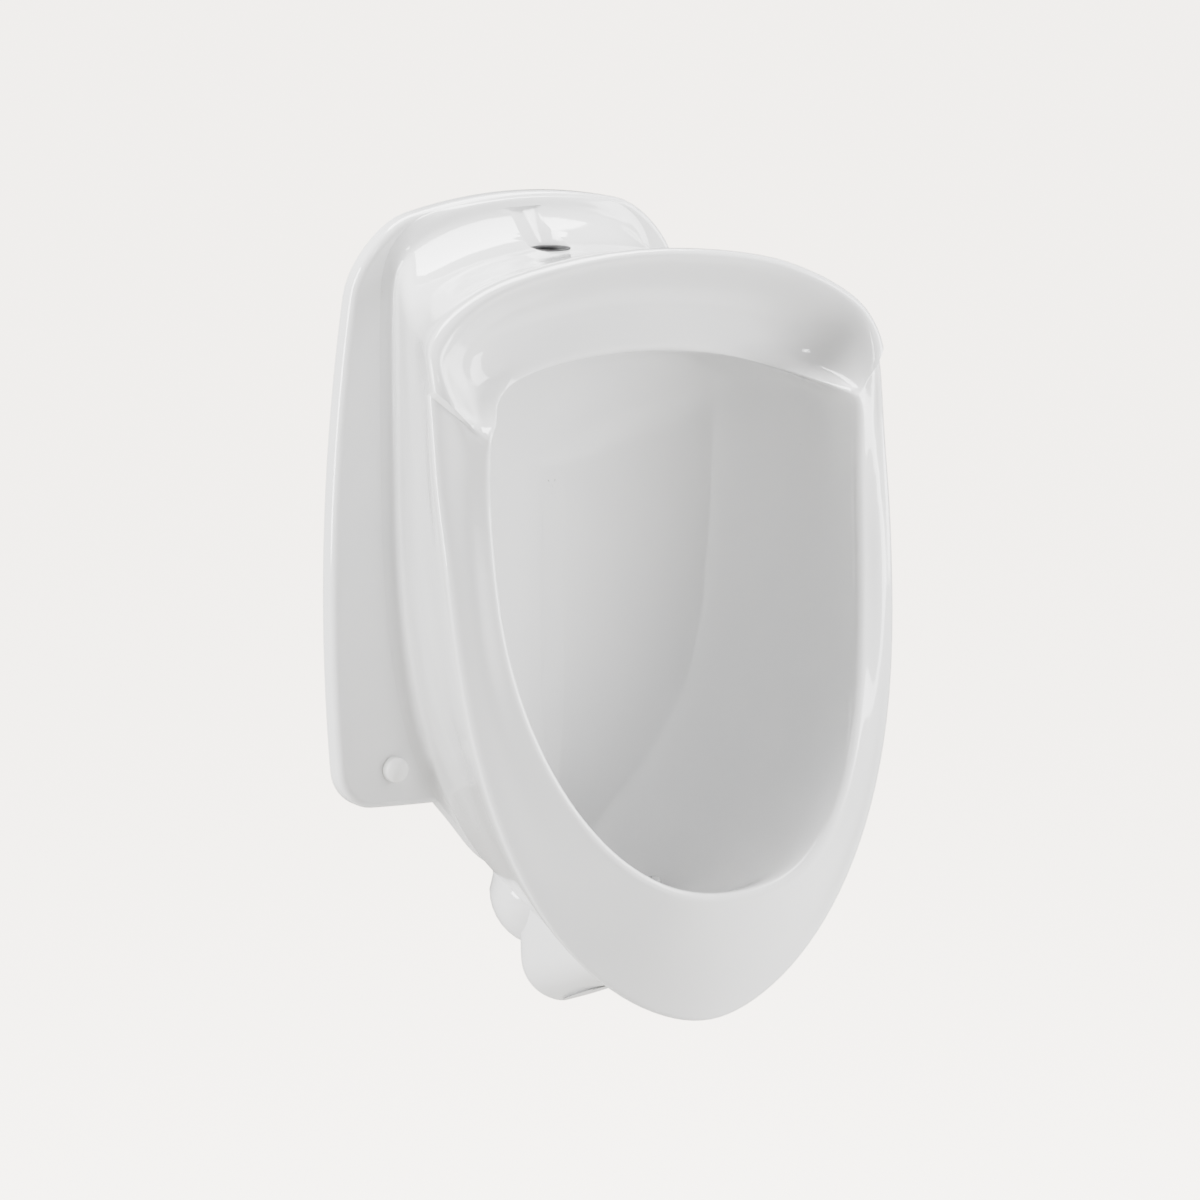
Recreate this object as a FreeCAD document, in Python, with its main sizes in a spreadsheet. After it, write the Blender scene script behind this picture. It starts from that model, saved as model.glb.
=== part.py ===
import FreeCAD
import Part

import math
import os
import re

import Sketcher

from FreeCAD import Placement, Rotation, Vector

# A wall hung urinal of glazed vitreous china with an integral trap, and its fixings.
# X runs to the right of someone facing it, Y into the wall and Z up, in millimetres.
# The origin is on the finished wall, on the centre line, near mid height.

doc = FreeCAD.newDocument("wall_hung_urinal")
sheet = doc.addObject("Spreadsheet::Sheet", "sizes")

# name, value, meaning. Heights are Z, distances out from the wall are positive here.
SIZES = (
    ("back_plate", None, None),
    ("plate_depth", 16, "thickness of the plate against the wall"),
    ("plate_edge_round", 7, "rounding of the plate's front edge"),
    ("plate_half_width_low", 174, "half width at the bottom corners"),
    ("plate_half_width_mid", 180, "half width at mid height, where it bows out"),
    ("plate_half_width_high", 151, "half width at the top corners"),
    ("plate_crown", 322, "height of the top edge on the centre line"),
    ("plate_shoulder", 296, "height of the top corners"),
    ("plate_foot", -183, "height of the bottom corners"),
    ("plate_foot_bow", 8, "how much lower the bottom edge is on the centre line"),
    ("plate_shoulder_round", 50, "radius of the top corners"),
    ("plate_foot_round", 30, "radius of the bottom corners"),
    ("root_of_the_body", None, None),
    ("root_half_width", 116, "half width of the body where it leaves the plate"),
    ("root_bottom", -262, "lowest point of the body at the wall"),
    ("root_low", 60, "height where the sides start to close in"),
    ("root_high", 236, "height where the top corners start"),
    ("root_rise", 60, "height of the top corners"),
    ("root_crown", 16, "rise of the arched top"),
    ("root_fillet", 22, "how far the body spreads where it meets the plate"),
    ("root_fillet_top", 0.25, "share of that spread at the top of the plate"),
    ("outer_edge_of_the_rim", None, None),
    ("outer_half_width", 217, "half width of the rim"),
    ("outer_bottom", -322, "lowest point of the rim"),
    ("outer_low", 118, "height where the sides start to close in"),
    ("outer_fullness", 2.8, "how long the rim's sides stay upright below that"),
    ("outer_point", 1.75, "how pointed the rim is at its foot, less being more"),
    ("outer_high", 205, "height where the hood's corners start"),
    ("outer_rise", 47, "height of the hood's corners"),
    ("outer_crown", 49, "rise of the hood's arched top"),
    ("outer_side_reach", 248, "how far the rim's side stands out from the wall"),
    ("outer_bottom_reach", 310, "how far the rim's lowest point stands out"),
    ("outer_top_reach", 202, "how far the hood's ridge stands out"),
    ("outer_round", 9, "rounding of the rim's outer edge"),
    ("inner_edge_of_the_rim", None, None),
    ("inner_half_width", 178, "half width of the bowl's mouth"),
    ("inner_bottom", -208, "height of the lip"),
    ("inner_low", 110, "height where the mouth's sides start to close in"),
    ("inner_fullness", 2.5, "how long the mouth's sides stay upright below that"),
    ("inner_point", 2.3, "how pointed the mouth is at its foot, less being more"),
    ("inner_high", 160, "height where the mouth's top corners start"),
    ("inner_rise", 20, "height of the mouth's top corners"),
    ("inner_crown", 36, "rise of the mouth's arched top"),
    ("inner_side_reach", 257, "how far the ridge beside the bowl stands out"),
    ("inner_bottom_reach", 347, "how far the lip stands out"),
    ("inner_top_reach", 181, "how far the flushing rim's lower edge stands out"),
    ("inner_round", 8, "rounding of the ridge"),
    ("cove_depth", 20, "how deep the hood's front is hollowed"),
    ("trough_depth", 29, "how deep the top is hollowed behind the hood's ridge"),
    ("bowl", None, None),
    ("bowl_half_width", 152, "half width of the bowl half way in"),
    ("bowl_high", 142, "height where its top corners start"),
    ("bowl_crown", 25, "rise of its arched roof"),
    ("bowl_floor", -258, "height of the bowl's floor"),
    ("bowl_roof", 212, "height of the bowl's roof"),
    ("bowl_side_reach", 165, "distance from the wall to the bowl half way in"),
    ("bowl_floor_reach", 178, "distance from the wall to the floor's lowest line"),
    ("bowl_roof_reach", 120, "distance from the wall to the roof half way in"),
    ("back_half_width", 110, "half width of the bowl where it turns into its back"),
    ("back_turn_reach", 88, "distance from the wall to that turn"),
    ("bowl_back", 66, "distance from the wall to the back of the bowl"),
    ("back_corner_rise", 10, "least height of the corners above the back's flat middle"),
    ("hollow_in_the_casting", None, None),
    ("china_wall", 8, "thickness of the china around the hollow at the plate and the bowl's back"),
    ("wall_share", 0.3, "share of the casting's side that its inner and its outer wall each take"),
    ("hollow_top", 168, "height where the hollow behind the bowl ends"),
    ("hollow_foot", -168, "height where that hollow starts"),
    ("flush_chamber", None, None),
    ("chamber_half_width", 94, "half width of the water chamber in the hood"),
    ("chamber_rear", 33, "distance from the wall to its rear"),
    ("chamber_front", 148, "distance from the wall to its front"),
    ("chamber_floor", 228, "height of its floor"),
    ("chamber_roof", 257, "height of its roof"),
    ("chamber_round", 10, "rounding of its corners"),
    ("wash_hole_radius", 3, "radius of a hole that feeds water to the bowl"),
    ("wash_hole_pitch", 20, "distance between these holes"),
    ("wash_hole_count", 9, "number of these holes"),
    ("wash_hole_reach", 138, "distance from the wall to these holes"),
    ("wash_hole_length", 40, "length of a drill that clears the roof"),
    ("inlet", None, None),
    ("inlet_reach", 65, "distance from the wall to the inlet's centre"),
    ("inlet_bore", 16.5, "radius of the hole in the china"),
    ("inlet_top", 320, "height that clears the top of the china"),
    ("seal_clearance", 0.1, "radial clearance of a rubber seal in its seat"),
    ("inlet_seal_bore", 12.7, "radius that the flush pipe goes into"),
    ("inlet_seal_top", 275, "height of the seal's top, below the surface"),
    ("inlet_seal_flange", 20, "radius of its flange under the roof"),
    ("inlet_seal_flange_depth", 3, "thickness of that flange"),
    ("trap", None, None),
    ("trap_bore", 24, "radius of the water way"),
    ("trap_bend", 36, "radius of the U bend's centre line"),
    ("trap_centre_reach", 126, "distance from the wall to the U bend's centre"),
    ("trap_bend_centre", -281, "height of the U bend's centre at the rear"),
    ("trap_front_foot", -283, "height of the end of the china's front leg"),
    ("trap_shell", 40, "outer radius of the U bend"),
    ("heel_radius", 49, "outer radius of the rising leg"),
    ("heel_reach", 58, "distance from the wall to the rising leg's heel"),
    ("heel_height", -266, "height of that heel"),
    ("outlet_height", -205, "height of the outlet's centre"),
    ("outlet_turn_reach", 34, "distance from the wall to the bend before the outlet"),
    ("outlet_boss", 46, "outer radius of the china around the outlet"),
    ("outlet_socket", 33, "radius of the socket for the outlet seal"),
    ("outlet_socket_depth", 26, "depth of that socket"),
    ("outlet_seal_bore", 25, "radius that the waste pipe goes into"),
    ("outlet_lip_depth", 3, "thickness of the seal's inner lip"),
    ("outlet_lip_bore", 23, "radius inside that lip"),
    ("strainer", None, None),
    ("strainer_seat", -254, "height of the flat seat of the strainer"),
    ("strainer_recess", 31, "radius of the recess around the strainer"),
    ("strainer_radius", 30, "radius of the strainer's plate"),
    ("strainer_steel", 1.2, "thickness of the strainer's sheet"),
    ("strainer_dome", 7, "rise of the dome"),
    ("strainer_dome_radius", 22, "radius of the dome's foot"),
    ("strainer_skirt", 22.5, "outer radius of the skirt in the throat"),
    ("strainer_skirt_depth", 12, "depth of the skirt"),
    ("strainer_hole", 2.2, "radius of a drain hole"),
    ("hangers", None, None),
    ("hanger_half_spacing", 85, "distance of a hanger from the centre line"),
    ("hanger_ledge", 232, "height of the ledge that hangs on a hanger"),
    ("hanger_width", 44, "width of a hanger"),
    ("hanger_height", 50, "height of its plate"),
    ("hanger_steel", 3, "thickness of its steel"),
    ("hanger_reach", 13, "how far its hook stands out from the wall"),
    ("hanger_lip", 8, "rise of its hook"),
    ("hanger_room", 2, "room around a hanger in its pocket"),
    ("hanger_screw_half_spacing", 13, "distance of a screw from its hanger's middle"),
    ("hanger_screw_drop", 24, "distance of the screws below the ledge"),
    ("fixings", None, None),
    ("fixing_half_spacing", 125, "distance of a lower fixing from the centre line"),
    ("fixing_height", -153, "height of the lower fixings"),
    ("fixing_bore", 4.8, "radius of the hole in the china"),
    ("screw_radius", 3, "radius over a screw's thread"),
    ("screw_neck", 2.6, "radius of its plain neck"),
    ("thread_start", 1, "distance from the wall's face to the thread, inside the wall"),
    ("screw_head_radius", 5.6, "radius across a hexagon head's corners"),
    ("screw_head_depth", 4, "height of a head"),
    ("thread_length", 50, "length of a screw's thread"),
    ("screw_tip", 5, "length of a screw's point"),
    ("hole_clearance", 0.3, "radial clearance of a screw in its hole"),
    ("washer_radius", 7, "radius of a washer"),
    ("washer_depth", 1.2, "thickness of a washer"),
    ("sleeve_clearance", 0.1, "radial clearance of a sleeve in the china"),
    ("sleeve_flange", 8.5, "radius of a sleeve's flange"),
    ("sleeve_flange_depth", 1.2, "thickness of that flange"),
    ("base_radius", 9.2, "radius of the disc that holds a cap"),
    ("base_depth", 2, "thickness of that disc"),
    ("cap_radius", 10.8, "outer radius of a cap"),
    ("cap_wall", 1.3, "wall of a cap"),
    ("cap_rim_depth", 5.4, "height of a cap's straight rim"),
    ("cap_dome", 6, "rise of a cap's dome"),
    ("cap_clearance", 0.3, "gap between a cap and the plate behind it"),
)

NAMES = set()
for line, (name, value, meaning) in enumerate(SIZES, start=1):
    if value is None:
        sheet.set("A%d" % line, name.replace("_", " "))
        continue
    sheet.set("A%d" % line, meaning)
    sheet.set("B%d" % line, repr(value))
    sheet.setAlias("B%d" % line, name)
    NAMES.add(name)
doc.recompute()

LOWER_STEPS = 8
SIDE_STEPS = 2
UPPER_STEPS = 6
ALONG_DEGREE = 2
FILLET_SHARE, REAR_SHARE, MIDDLE_SHARE, RIM_SHARE = 0.1, 0.32, 0.66, 0.84
BOWL_ENTRY_SHARE = 0.45
TRAP_BELLY = 5
LEFT, RIGHT = -1, 1
SIDES = ((LEFT, "left"), (RIGHT, "right"))
OUT_OF_THE_WALL = Rotation(Vector(1, 0, 0), 90)
INTO_THE_WALL = Rotation(Vector(1, 0, 0), -90)


def size(name):
    """The number in the sheet's cell of this name."""
    return float(sheet.get(name))


def bound(formula):
    """A formula of sheet names, as an expression that FreeCAD follows."""
    return re.sub(
        "[a-z][a-z_0-9]*",
        lambda word: "sizes." + word.group() if word.group() in NAMES else word.group(),
        formula,
    )


def put(thing, x="0", y="0", z="0"):
    """Ties an object's place to the sheet."""
    for axis, formula in (("x", x), ("y", y), ("z", z)):
        thing.setExpression("Placement.Base." + axis, bound(formula))
    return thing


def solid(kind, name, x="0", y="0", z="0", turn=None, **sizes):
    """A Part primitive whose sizes and place follow the sheet."""
    thing = doc.addObject("Part::" + kind, name)
    if turn:
        thing.Placement = Placement(Vector(), turn)
    for dimension, formula in sizes.items():
        thing.setExpression(dimension, bound(formula))
    return put(thing, x, y, z)


def join(name, pieces):
    """Several solids made one."""
    whole = doc.addObject("Part::MultiFuse", name)
    whole.Shapes = pieces
    return whole


def cut(name, base, tool):
    """A solid with another taken out of it."""
    rest = doc.addObject("Part::Cut", name)
    rest.Base = base
    rest.Tool = tool
    return rest


def group(name, pieces):
    """Equal separate solids that share one file."""
    whole = doc.addObject("Part::Compound", name)
    whole.Links = pieces
    return whole


# ---------------------------------------------------------------- the china's skin


class Ring:
    """A closed line around the china, seen from the front, with its distance from the wall.

    The lower part is half a superellipse that hangs from `low`, the sides are upright up to
    `high`, and the top has square corners `rise` high under an arch that rises by `crown`.
    From `sweep_start` to `sweep_end` in height the ring sweeps back to its top's reach.
    """

    FIELDS = (
        "width", "bottom", "low", "fullness", "point", "high", "rise", "crown", "squareness",
        "side_reach", "bottom_reach", "top_reach", "fall", "sweep_start", "sweep_end",
    )

    def __init__(self, **fields):
        for field in self.FIELDS:
            setattr(self, field, fields[field])

    def towards(self, other, share):
        """The ring that lies this share of the way to another one."""
        return Ring(**{
            field: getattr(self, field) * (1 - share) + getattr(other, field) * share
            for field in self.FIELDS
        })

    def grown(self, by=0.0, out=0.0, top_out=0.0, top_up=0.0):
        """This ring made larger all round, and moved away from the wall."""
        changed = self.towards(self, 0)
        changed.width += by
        changed.bottom -= by
        changed.rise += by + top_up
        changed.side_reach += out
        changed.bottom_reach += out
        changed.top_reach += out + top_out
        return changed

    def reach(self, z):
        """Distance from the wall at this height."""
        if z < self.low:
            share = ((self.low - z) / (self.low - self.bottom)) ** self.fall
            return self.side_reach + (self.bottom_reach - self.side_reach) * share
        share = (z - self.sweep_start) / (self.sweep_end - self.sweep_start)
        share = math.sin(math.pi / 2 * min(max(share, 0), 1))
        return self.side_reach + (self.top_reach - self.side_reach) * share

    def right_half(self, spread):
        """Points from the lowest to the highest, on the right of the centre line."""
        flat = []
        for step in range(LOWER_STEPS):
            turn = math.pi / 2 * step / LOWER_STEPS
            x = self.width * math.sin(turn) ** (2 / self.point)
            z = self.low - (self.low - self.bottom) * math.cos(turn) ** (2 / self.fullness)
            flat.append((x, z))
        for step in range(SIDE_STEPS):
            flat.append((self.width, self.low + (self.high - self.low) * step / SIDE_STEPS))
        for step in range(UPPER_STEPS + 1):
            turn = math.pi / 2 * step / UPPER_STEPS
            across = abs(math.cos(turn)) ** (2 / self.squareness)
            up = math.sin(turn) ** (2 / self.squareness)
            z = self.high + self.rise * up + self.crown * (1 - across ** 2)
            flat.append((self.width * across, z))
        points = []
        for place, (x, z) in enumerate(flat):
            before, after = flat[max(place - 1, 0)], flat[min(place + 1, len(flat) - 1)]
            away = Vector(after[1] - before[1], 0, before[0] - after[0]).normalize()
            points.append(Vector(x, -self.reach(z), z) + away * spread * share_on_the_plate(z))
        return points

    def all_round(self, spread=0.0):
        """The whole ring's points, from the lowest point round to it again."""
        right = self.right_half(spread)
        left = [Vector(-point.x, point.y, point.z) for point in right[-2:0:-1]]
        return right + left


def share_on_the_plate(z):
    """The share of the root's fillet at this height: none below the plate, little at its top."""
    foot = min(max((z - size("plate_foot") + 6) / 30, 0), 1)
    top = min(max((size("plate_shoulder") + 12 - z) / 60, size("root_fillet_top")), 1)
    return foot * top


def root_ring():
    """The line where the body leaves the wall."""
    return Ring(
        width=size("root_half_width"), bottom=size("root_bottom"), low=size("root_low"),
        fullness=2, point=2, high=size("root_high"), rise=size("root_rise"),
        crown=size("root_crown"), squareness=3.4, side_reach=0, bottom_reach=0, top_reach=0,
        fall=1, sweep_start=size("root_high"),
        sweep_end=size("root_high") + size("root_rise") + size("root_crown"),
    )


def outer_ring():
    """The rim's outer edge, which runs on as the hood's ridge."""
    return Ring(
        width=size("outer_half_width"), bottom=size("outer_bottom"), low=size("outer_low"),
        fullness=size("outer_fullness"), point=size("outer_point"), high=size("outer_high"),
        rise=size("outer_rise"), crown=size("outer_crown"), squareness=4.3,
        side_reach=size("outer_side_reach"), bottom_reach=size("outer_bottom_reach"),
        top_reach=size("outer_top_reach"), fall=1, sweep_start=size("outer_high") - 5,
        sweep_end=size("outer_high") + size("outer_rise") + size("outer_crown"),
    )


def inner_ring():
    """The ridge around the bowl, which runs on as the flushing rim's lower edge."""
    return Ring(
        width=size("inner_half_width"), bottom=size("inner_bottom"), low=size("inner_low"),
        fullness=size("inner_fullness"), point=size("inner_point"), high=size("inner_high"),
        rise=size("inner_rise"), crown=size("inner_crown"), squareness=4,
        side_reach=size("inner_side_reach"),
        bottom_reach=size("inner_bottom_reach"), top_reach=size("inner_top_reach"), fall=1.85,
        sweep_start=size("inner_high") + size("inner_rise") * 0.7,
        sweep_end=size("inner_high") + size("inner_rise") + size("inner_crown") * 0.7,
    )


def bowl_ring():
    """The bowl half way in, around its floor and roof."""
    high, crown = size("bowl_high"), size("bowl_crown")
    return Ring(
        width=size("bowl_half_width"), bottom=size("bowl_floor"), low=size("inner_low") / 2,
        fullness=1.95, point=1.95, high=high, rise=size("bowl_roof") - high - crown,
        crown=crown, squareness=3, side_reach=size("bowl_side_reach"),
        bottom_reach=size("bowl_floor_reach"), top_reach=size("bowl_roof_reach"), fall=2,
        sweep_start=high, sweep_end=size("bowl_roof"),
    )


def back_turn_ring():
    """Where the bowl's sides turn into its back."""
    bowl = bowl_ring()
    turned = bowl.towards(bowl, 0)
    turned.width = size("back_half_width")
    turned.bottom = bowl.bottom + (bowl.width - turned.width) / 2
    turned.rise = bowl.rise - (bowl.width - turned.width) * 0.6
    turned.side_reach = turned.top_reach = size("back_turn_reach")
    turned.bottom_reach = turned.side_reach * 1.3
    return turned


def bowl_back_ring():
    """The flat middle of the bowl's back."""
    turned = back_turn_ring()
    middle = turned.grown(by=-0.45 * turned.width)
    middle.rise = max(middle.rise, size("back_corner_rise"))
    middle.side_reach = middle.bottom_reach = middle.top_reach = size("bowl_back")
    return middle


def smooth_solid(rings):
    """A solid whose skin follows rings of control points, closed flat across the first and last."""
    around, along = len(rings[0]), len(rings)
    poles = [[ring[place] for ring in rings] for place in range(around)]
    around_knots = list(range(around + 1))
    along_knots = list(range(along - ALONG_DEGREE + 1))
    end = ALONG_DEGREE + 1
    surface = Part.BSplineSurface()
    surface.buildFromPolesMultsKnots(
        poles, [1] * len(around_knots), [end] + [1] * (len(along_knots) - 2) + [end],
        around_knots, along_knots, True, False, 3, ALONG_DEGREE,
    )
    faces = [surface.toShape()]
    for knot in (along_knots[0], along_knots[-1]):
        faces.append(Part.Face(Part.Wire([surface.vIso(knot).toShape()])))
    shell = Part.makeShell(faces)
    shell.sewShape()
    whole = Part.makeSolid(Part.Shell(shell.Faces))
    if whole.Volume < 0:
        whole.reverse()
    return whole


def make_skin():
    """The body, its rim, the hood and the bowl as one solid of smooth rings."""
    root, outer, inner, bowl = root_ring(), outer_ring(), inner_ring(), bowl_ring()
    trough = size("trough_depth")
    edge, lip = size("outer_round"), size("inner_round")
    face = outer.towards(inner, 0.5).grown(out=3, top_out=-size("cove_depth") - 3)
    depth, fillet = size("plate_depth"), size("root_fillet")
    rings = (
        root.towards(outer, FILLET_SHARE).grown(out=depth * 0.3, top_up=-trough * 0.4),
        root.towards(outer, REAR_SHARE).grown(top_up=-trough),
        root.towards(outer, MIDDLE_SHARE).grown(top_up=-trough * 0.6),
        outer.grown(out=-edge),
        outer.grown(by=-edge * 0.3, out=-edge * 0.3),
        outer.grown(by=-edge),
        face,
        inner.grown(by=lip, out=-lip * 0.1),
        inner,
        inner.grown(by=-lip * 0.8, out=-lip),
        inner.towards(bowl, BOWL_ENTRY_SHARE).grown(by=3),
        bowl,
        back_turn_ring(),
        bowl_back_ring(),
    )
    skin = doc.addObject("Part::Feature", "body_skin")
    skin.Shape = smooth_solid([
        root.all_round(fillet), root.grown(out=depth * 0.6).all_round(fillet),
        root.grown(out=depth + 2).all_round(fillet / 2),
    ] + [ring.all_round() for ring in rings])
    return skin


def make_core():
    """The closed hollow that the casting leaves between its outside and the bowl."""
    root, outer, inner, bowl = root_ring(), outer_ring(), inner_ring(), bowl_ring()
    back_turn = back_turn_ring()
    wall, share = size("china_wall"), size("wall_share")
    rear, middle = root.towards(outer, REAR_SHARE), root.towards(outer, MIDDLE_SHARE)
    rim, entry = root.towards(outer, RIM_SHARE), inner.towards(bowl, BOWL_ENTRY_SHARE)
    rings = (
        root.grown(by=-wall, out=size("plate_depth")),
        rear.towards(back_turn, share),
        middle.towards(bowl, share),
        rim.towards(entry, 0.5),
        bowl.towards(middle, share),
        back_turn.towards(rear, share),
        bowl_back_ring().grown(by=wall / 2, out=-wall),
    )
    hollow = doc.addObject("Part::Feature", "hollow_all_round")
    hollow.Shape = smooth_solid([ring.all_round() for ring in rings])
    span = solid(
        "Box", "hollow_span", x="-outer_half_width", y="-inner_bottom_reach",
        z="hollow_foot", Length="2 * outer_half_width", Width="inner_bottom_reach",
        Height="hollow_top - hollow_foot",
    )
    core = doc.addObject("Part::Common", "hollow_core")
    core.Base = hollow
    core.Tool = span
    return core


# ------------------------------------------------------------------- the back plate


def arc(start, through, end):
    """A circular arc in a sketch."""
    return Part.Arc(Vector(*start, 0), Vector(*through, 0), Vector(*end, 0))


def make_plate():
    """The plate against the wall: four gentle arcs with rounded corners and a rounded front edge."""
    body = doc.addObject("PartDesign::Body", "back_plate_body")
    sketch = body.newObject("Sketcher::SketchObject", "plate_outline")
    sketch.AttachmentSupport = [(plane_of(body, "XZ_Plane"), "")]
    sketch.MapMode = "FlatFace"
    foot, shoulder, crown = size("plate_foot"), size("plate_shoulder"), size("plate_crown")
    low, high = size("plate_half_width_low"), size("plate_half_width_high")
    mid, mid_height = size("plate_half_width_mid"), (foot + shoulder) / 2
    bottom = (0, foot - size("plate_foot_bow"))
    for piece in (
        arc((-low, foot), bottom, (low, foot)),
        arc((low, foot), (mid, mid_height), (high, shoulder)),
        arc((high, shoulder), (0, crown), (-high, shoulder)),
        arc((-high, shoulder), (-mid, mid_height), (-low, foot)),
    ):
        sketch.addGeometry(piece)
    pad = body.newObject("PartDesign::Pad", "plate_pad")
    pad.Profile = sketch
    pad.setExpression("Length", "sizes.plate_depth")
    doc.recompute()
    base = pad
    for corner, radius in ((shoulder, "plate_shoulder_round"), (foot, "plate_foot_round")):
        uprights = [
            "Edge%d" % place for place, edge in enumerate(base.Shape.Edges, start=1)
            if edge.BoundBox.ZLength < 0.1 and edge.BoundBox.XLength < 0.1
            and abs(edge.CenterOfMass.z - corner) < 1
        ]
        base = round_off(body, base, uprights, radius)
    front = [
        "Edge%d" % place for place, edge in enumerate(base.Shape.Edges, start=1)
        if abs(edge.BoundBox.YMax + size("plate_depth")) < 0.01
    ]
    round_off(body, base, front, "plate_edge_round")
    return body


def round_off(body, base, edges, radius):
    """A fillet on some edges of a body's last feature."""
    rounded = body.newObject("PartDesign::Fillet", radius)
    rounded.Base = (base, edges)
    rounded.setExpression("Radius", "sizes." + radius)
    doc.recompute()
    return rounded


def plane_of(body, role):
    """One of a body's own origin planes."""
    return [plane for plane in body.Origin.OriginFeatures if plane.Role == role][0]


# ------------------------------------------------------- trap, water ways and pockets


def make_trap_shell():
    """The rounded china around the trap: U bend, rising leg and outlet."""
    front, rear = "-trap_centre_reach - trap_bend", "-trap_centre_reach + trap_bend"
    bottom = "trap_bend_centre - trap_bend"
    pieces = []
    for name, y, foot, top in (
        ("front", front, "trap_front_foot", "bowl_floor"),
        ("rear", rear, bottom, "heel_height"),
    ):
        pieces.append(solid("Sphere", "bend_" + name, y=y, z=foot, Radius="trap_shell"))
        pieces.append(solid(
            "Cylinder", "leg_" + name, y=y, z=foot, Radius="trap_shell",
            Height="%s - (%s)" % (top, foot),
        ))
    run = Vector(
        0, -2 * size("trap_bend"),
        size("trap_front_foot") - size("trap_bend_centre") + size("trap_bend"))
    pieces.append(solid(
        "Cylinder", "bend_floor", y=rear, z=bottom, turn=Rotation(Vector(0, 0, 1), run),
        Radius="trap_shell", Height="%r * 1 mm" % run.Length,
    ))
    pieces.append(solid(
        "Sphere", "heel", y="-heel_reach", z="heel_height", Radius="heel_radius",
    ))
    pieces.append(solid(
        "Cylinder", "rising_leg", y="-heel_reach", z="heel_height", Radius="outlet_boss",
        Height="outlet_height - heel_height",
    ))
    pieces.append(solid(
        "Cylinder", "outlet_boss_block", z="outlet_height", turn=OUT_OF_THE_WALL,
        Radius="outlet_boss", Height="heel_reach",
    ))
    return pieces


def make_water_way():
    """The tool that bores the trap: straight runs joined by tangent arcs."""
    front = -size("trap_centre_reach") - size("trap_bend")
    rear = -size("trap_centre_reach") + size("trap_bend")
    turn = -size("outlet_turn_reach")
    bend, outlet = size("trap_bend_centre"), size("outlet_height")
    corners = [
        Vector(0, front, size("strainer_seat") + 1),
        Vector(0, front, size("trap_front_foot") - TRAP_BELLY),
        Vector(0, rear, bend - size("trap_bend")),
        Vector(0, turn, outlet),
        Vector(0, 1, outlet),
    ]
    path = rounded_path(corners, size("trap_bend"))
    ring = Part.makeCircle(size("trap_bore"), corners[0], Vector(0, 0, -1))
    tool = doc.addObject("Part::Feature", "water_way")
    tool.Shape = path.makePipeShell([Part.Wire([ring])], True, False)
    return tool


def rounded_path(corners, radius):
    """A wire through these corners, each turned by an arc as large as its runs allow."""
    edges, start = [], corners[0]
    for before, corner, after in zip(corners, corners[1:], corners[2:]):
        back, on = (before - corner), (after - corner)
        shorter = min(back.Length, on.Length)
        back.normalize()
        on.normalize()
        half = back.getAngle(on) / 2
        trim = min(radius / math.tan(half), 0.49 * shorter)
        bisector = (back + on).normalize()
        arc_radius = trim * math.tan(half)
        centre = corner + bisector * (arc_radius / math.sin(half))
        first, last = corner + back * trim, corner + on * trim
        middle = centre - bisector * arc_radius
        edges.append(Part.LineSegment(start, first).toShape())
        edges.append(Part.Arc(first, middle, last).toShape())
        start = last
    edges.append(Part.LineSegment(start, corners[-1]).toShape())
    return Part.Wire(edges)


def make_chamber():
    """The tool that hollows the hood for the flushing water."""
    box = solid(
        "Box", "chamber_block", x="-chamber_half_width", y="-chamber_front",
        z="chamber_floor", Length="2 * chamber_half_width",
        Width="chamber_front - chamber_rear", Height="chamber_roof - chamber_floor",
    )
    doc.recompute()
    rounded = doc.addObject("Part::Fillet", "chamber_tool")
    rounded.Base = box
    radius = size("chamber_round")
    rounded.Edges = [(number, radius, radius) for number in range(1, 13)]
    return rounded


def make_wash_holes():
    """The drills for the row of holes under the flushing rim."""
    drills = []
    count = int(size("wash_hole_count"))
    for place in range(count):
        drills.append(solid(
            "Cylinder", "wash_drill_%d" % (place + 1),
            x="wash_hole_pitch * %g" % (place - (count - 1) / 2),
            y="-wash_hole_reach", z="chamber_floor + chamber_round - wash_hole_length",
            Radius="wash_hole_radius", Height="wash_hole_length",
        ))
    return drills


def make_openings():
    """Every tool that is taken out of the china."""
    tools = [make_water_way(), make_chamber()] + make_wash_holes()
    tools.append(solid(
        "Cylinder", "inlet_drill", y="-inlet_reach", z="chamber_floor + chamber_round",
        Radius="inlet_bore", Height="inlet_top - chamber_floor - chamber_round",
    ))
    tools.append(solid(
        "Cylinder", "socket_drill", z="outlet_height", y="1", turn=OUT_OF_THE_WALL,
        Radius="outlet_socket", Height="outlet_socket_depth + 1",
    ))
    tools.append(solid(
        "Cylinder", "strainer_drill", y="-trap_centre_reach - trap_bend",
        z="strainer_seat", Radius="strainer_recess",
        Height="inner_bottom - strainer_seat",
    ))
    for side, word in SIDES:
        x = "%d * hanger_half_spacing - hanger_width / 2 - hanger_room" % side
        wide = "hanger_width + 2 * hanger_room"
        tools.append(solid(
            "Box", "hanger_pocket_" + word, x=x, y="-hanger_reach - hanger_room",
            z="hanger_ledge - hanger_height - hanger_room", Length=wide,
            Width="hanger_reach + hanger_room + 1",
            Height="hanger_height + hanger_room",
        ))
        tools.append(solid(
            "Box", "hanger_groove_" + word, x=x, y="-hanger_reach - hanger_room",
            z="hanger_ledge - 1", Length=wide,
            Width="hanger_steel + 2 * hanger_room",
            Height="hanger_lip + hanger_room + 1",
        ))
        tools.append(solid(
            "Cylinder", "fixing_drill_" + word, x="%d * fixing_half_spacing" % side,
            y="1", z="fixing_height", turn=OUT_OF_THE_WALL, Radius="fixing_bore",
            Height="plate_depth + 2",
        ))
    return tools


def make_china():
    """The whole china casting."""
    shell = cut("hollow_body", make_skin(), make_core())
    solids = [shell, make_plate()] + make_trap_shell()
    return cut("china_body", join("china_solid", solids), join("china_openings", make_openings()))


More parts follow.
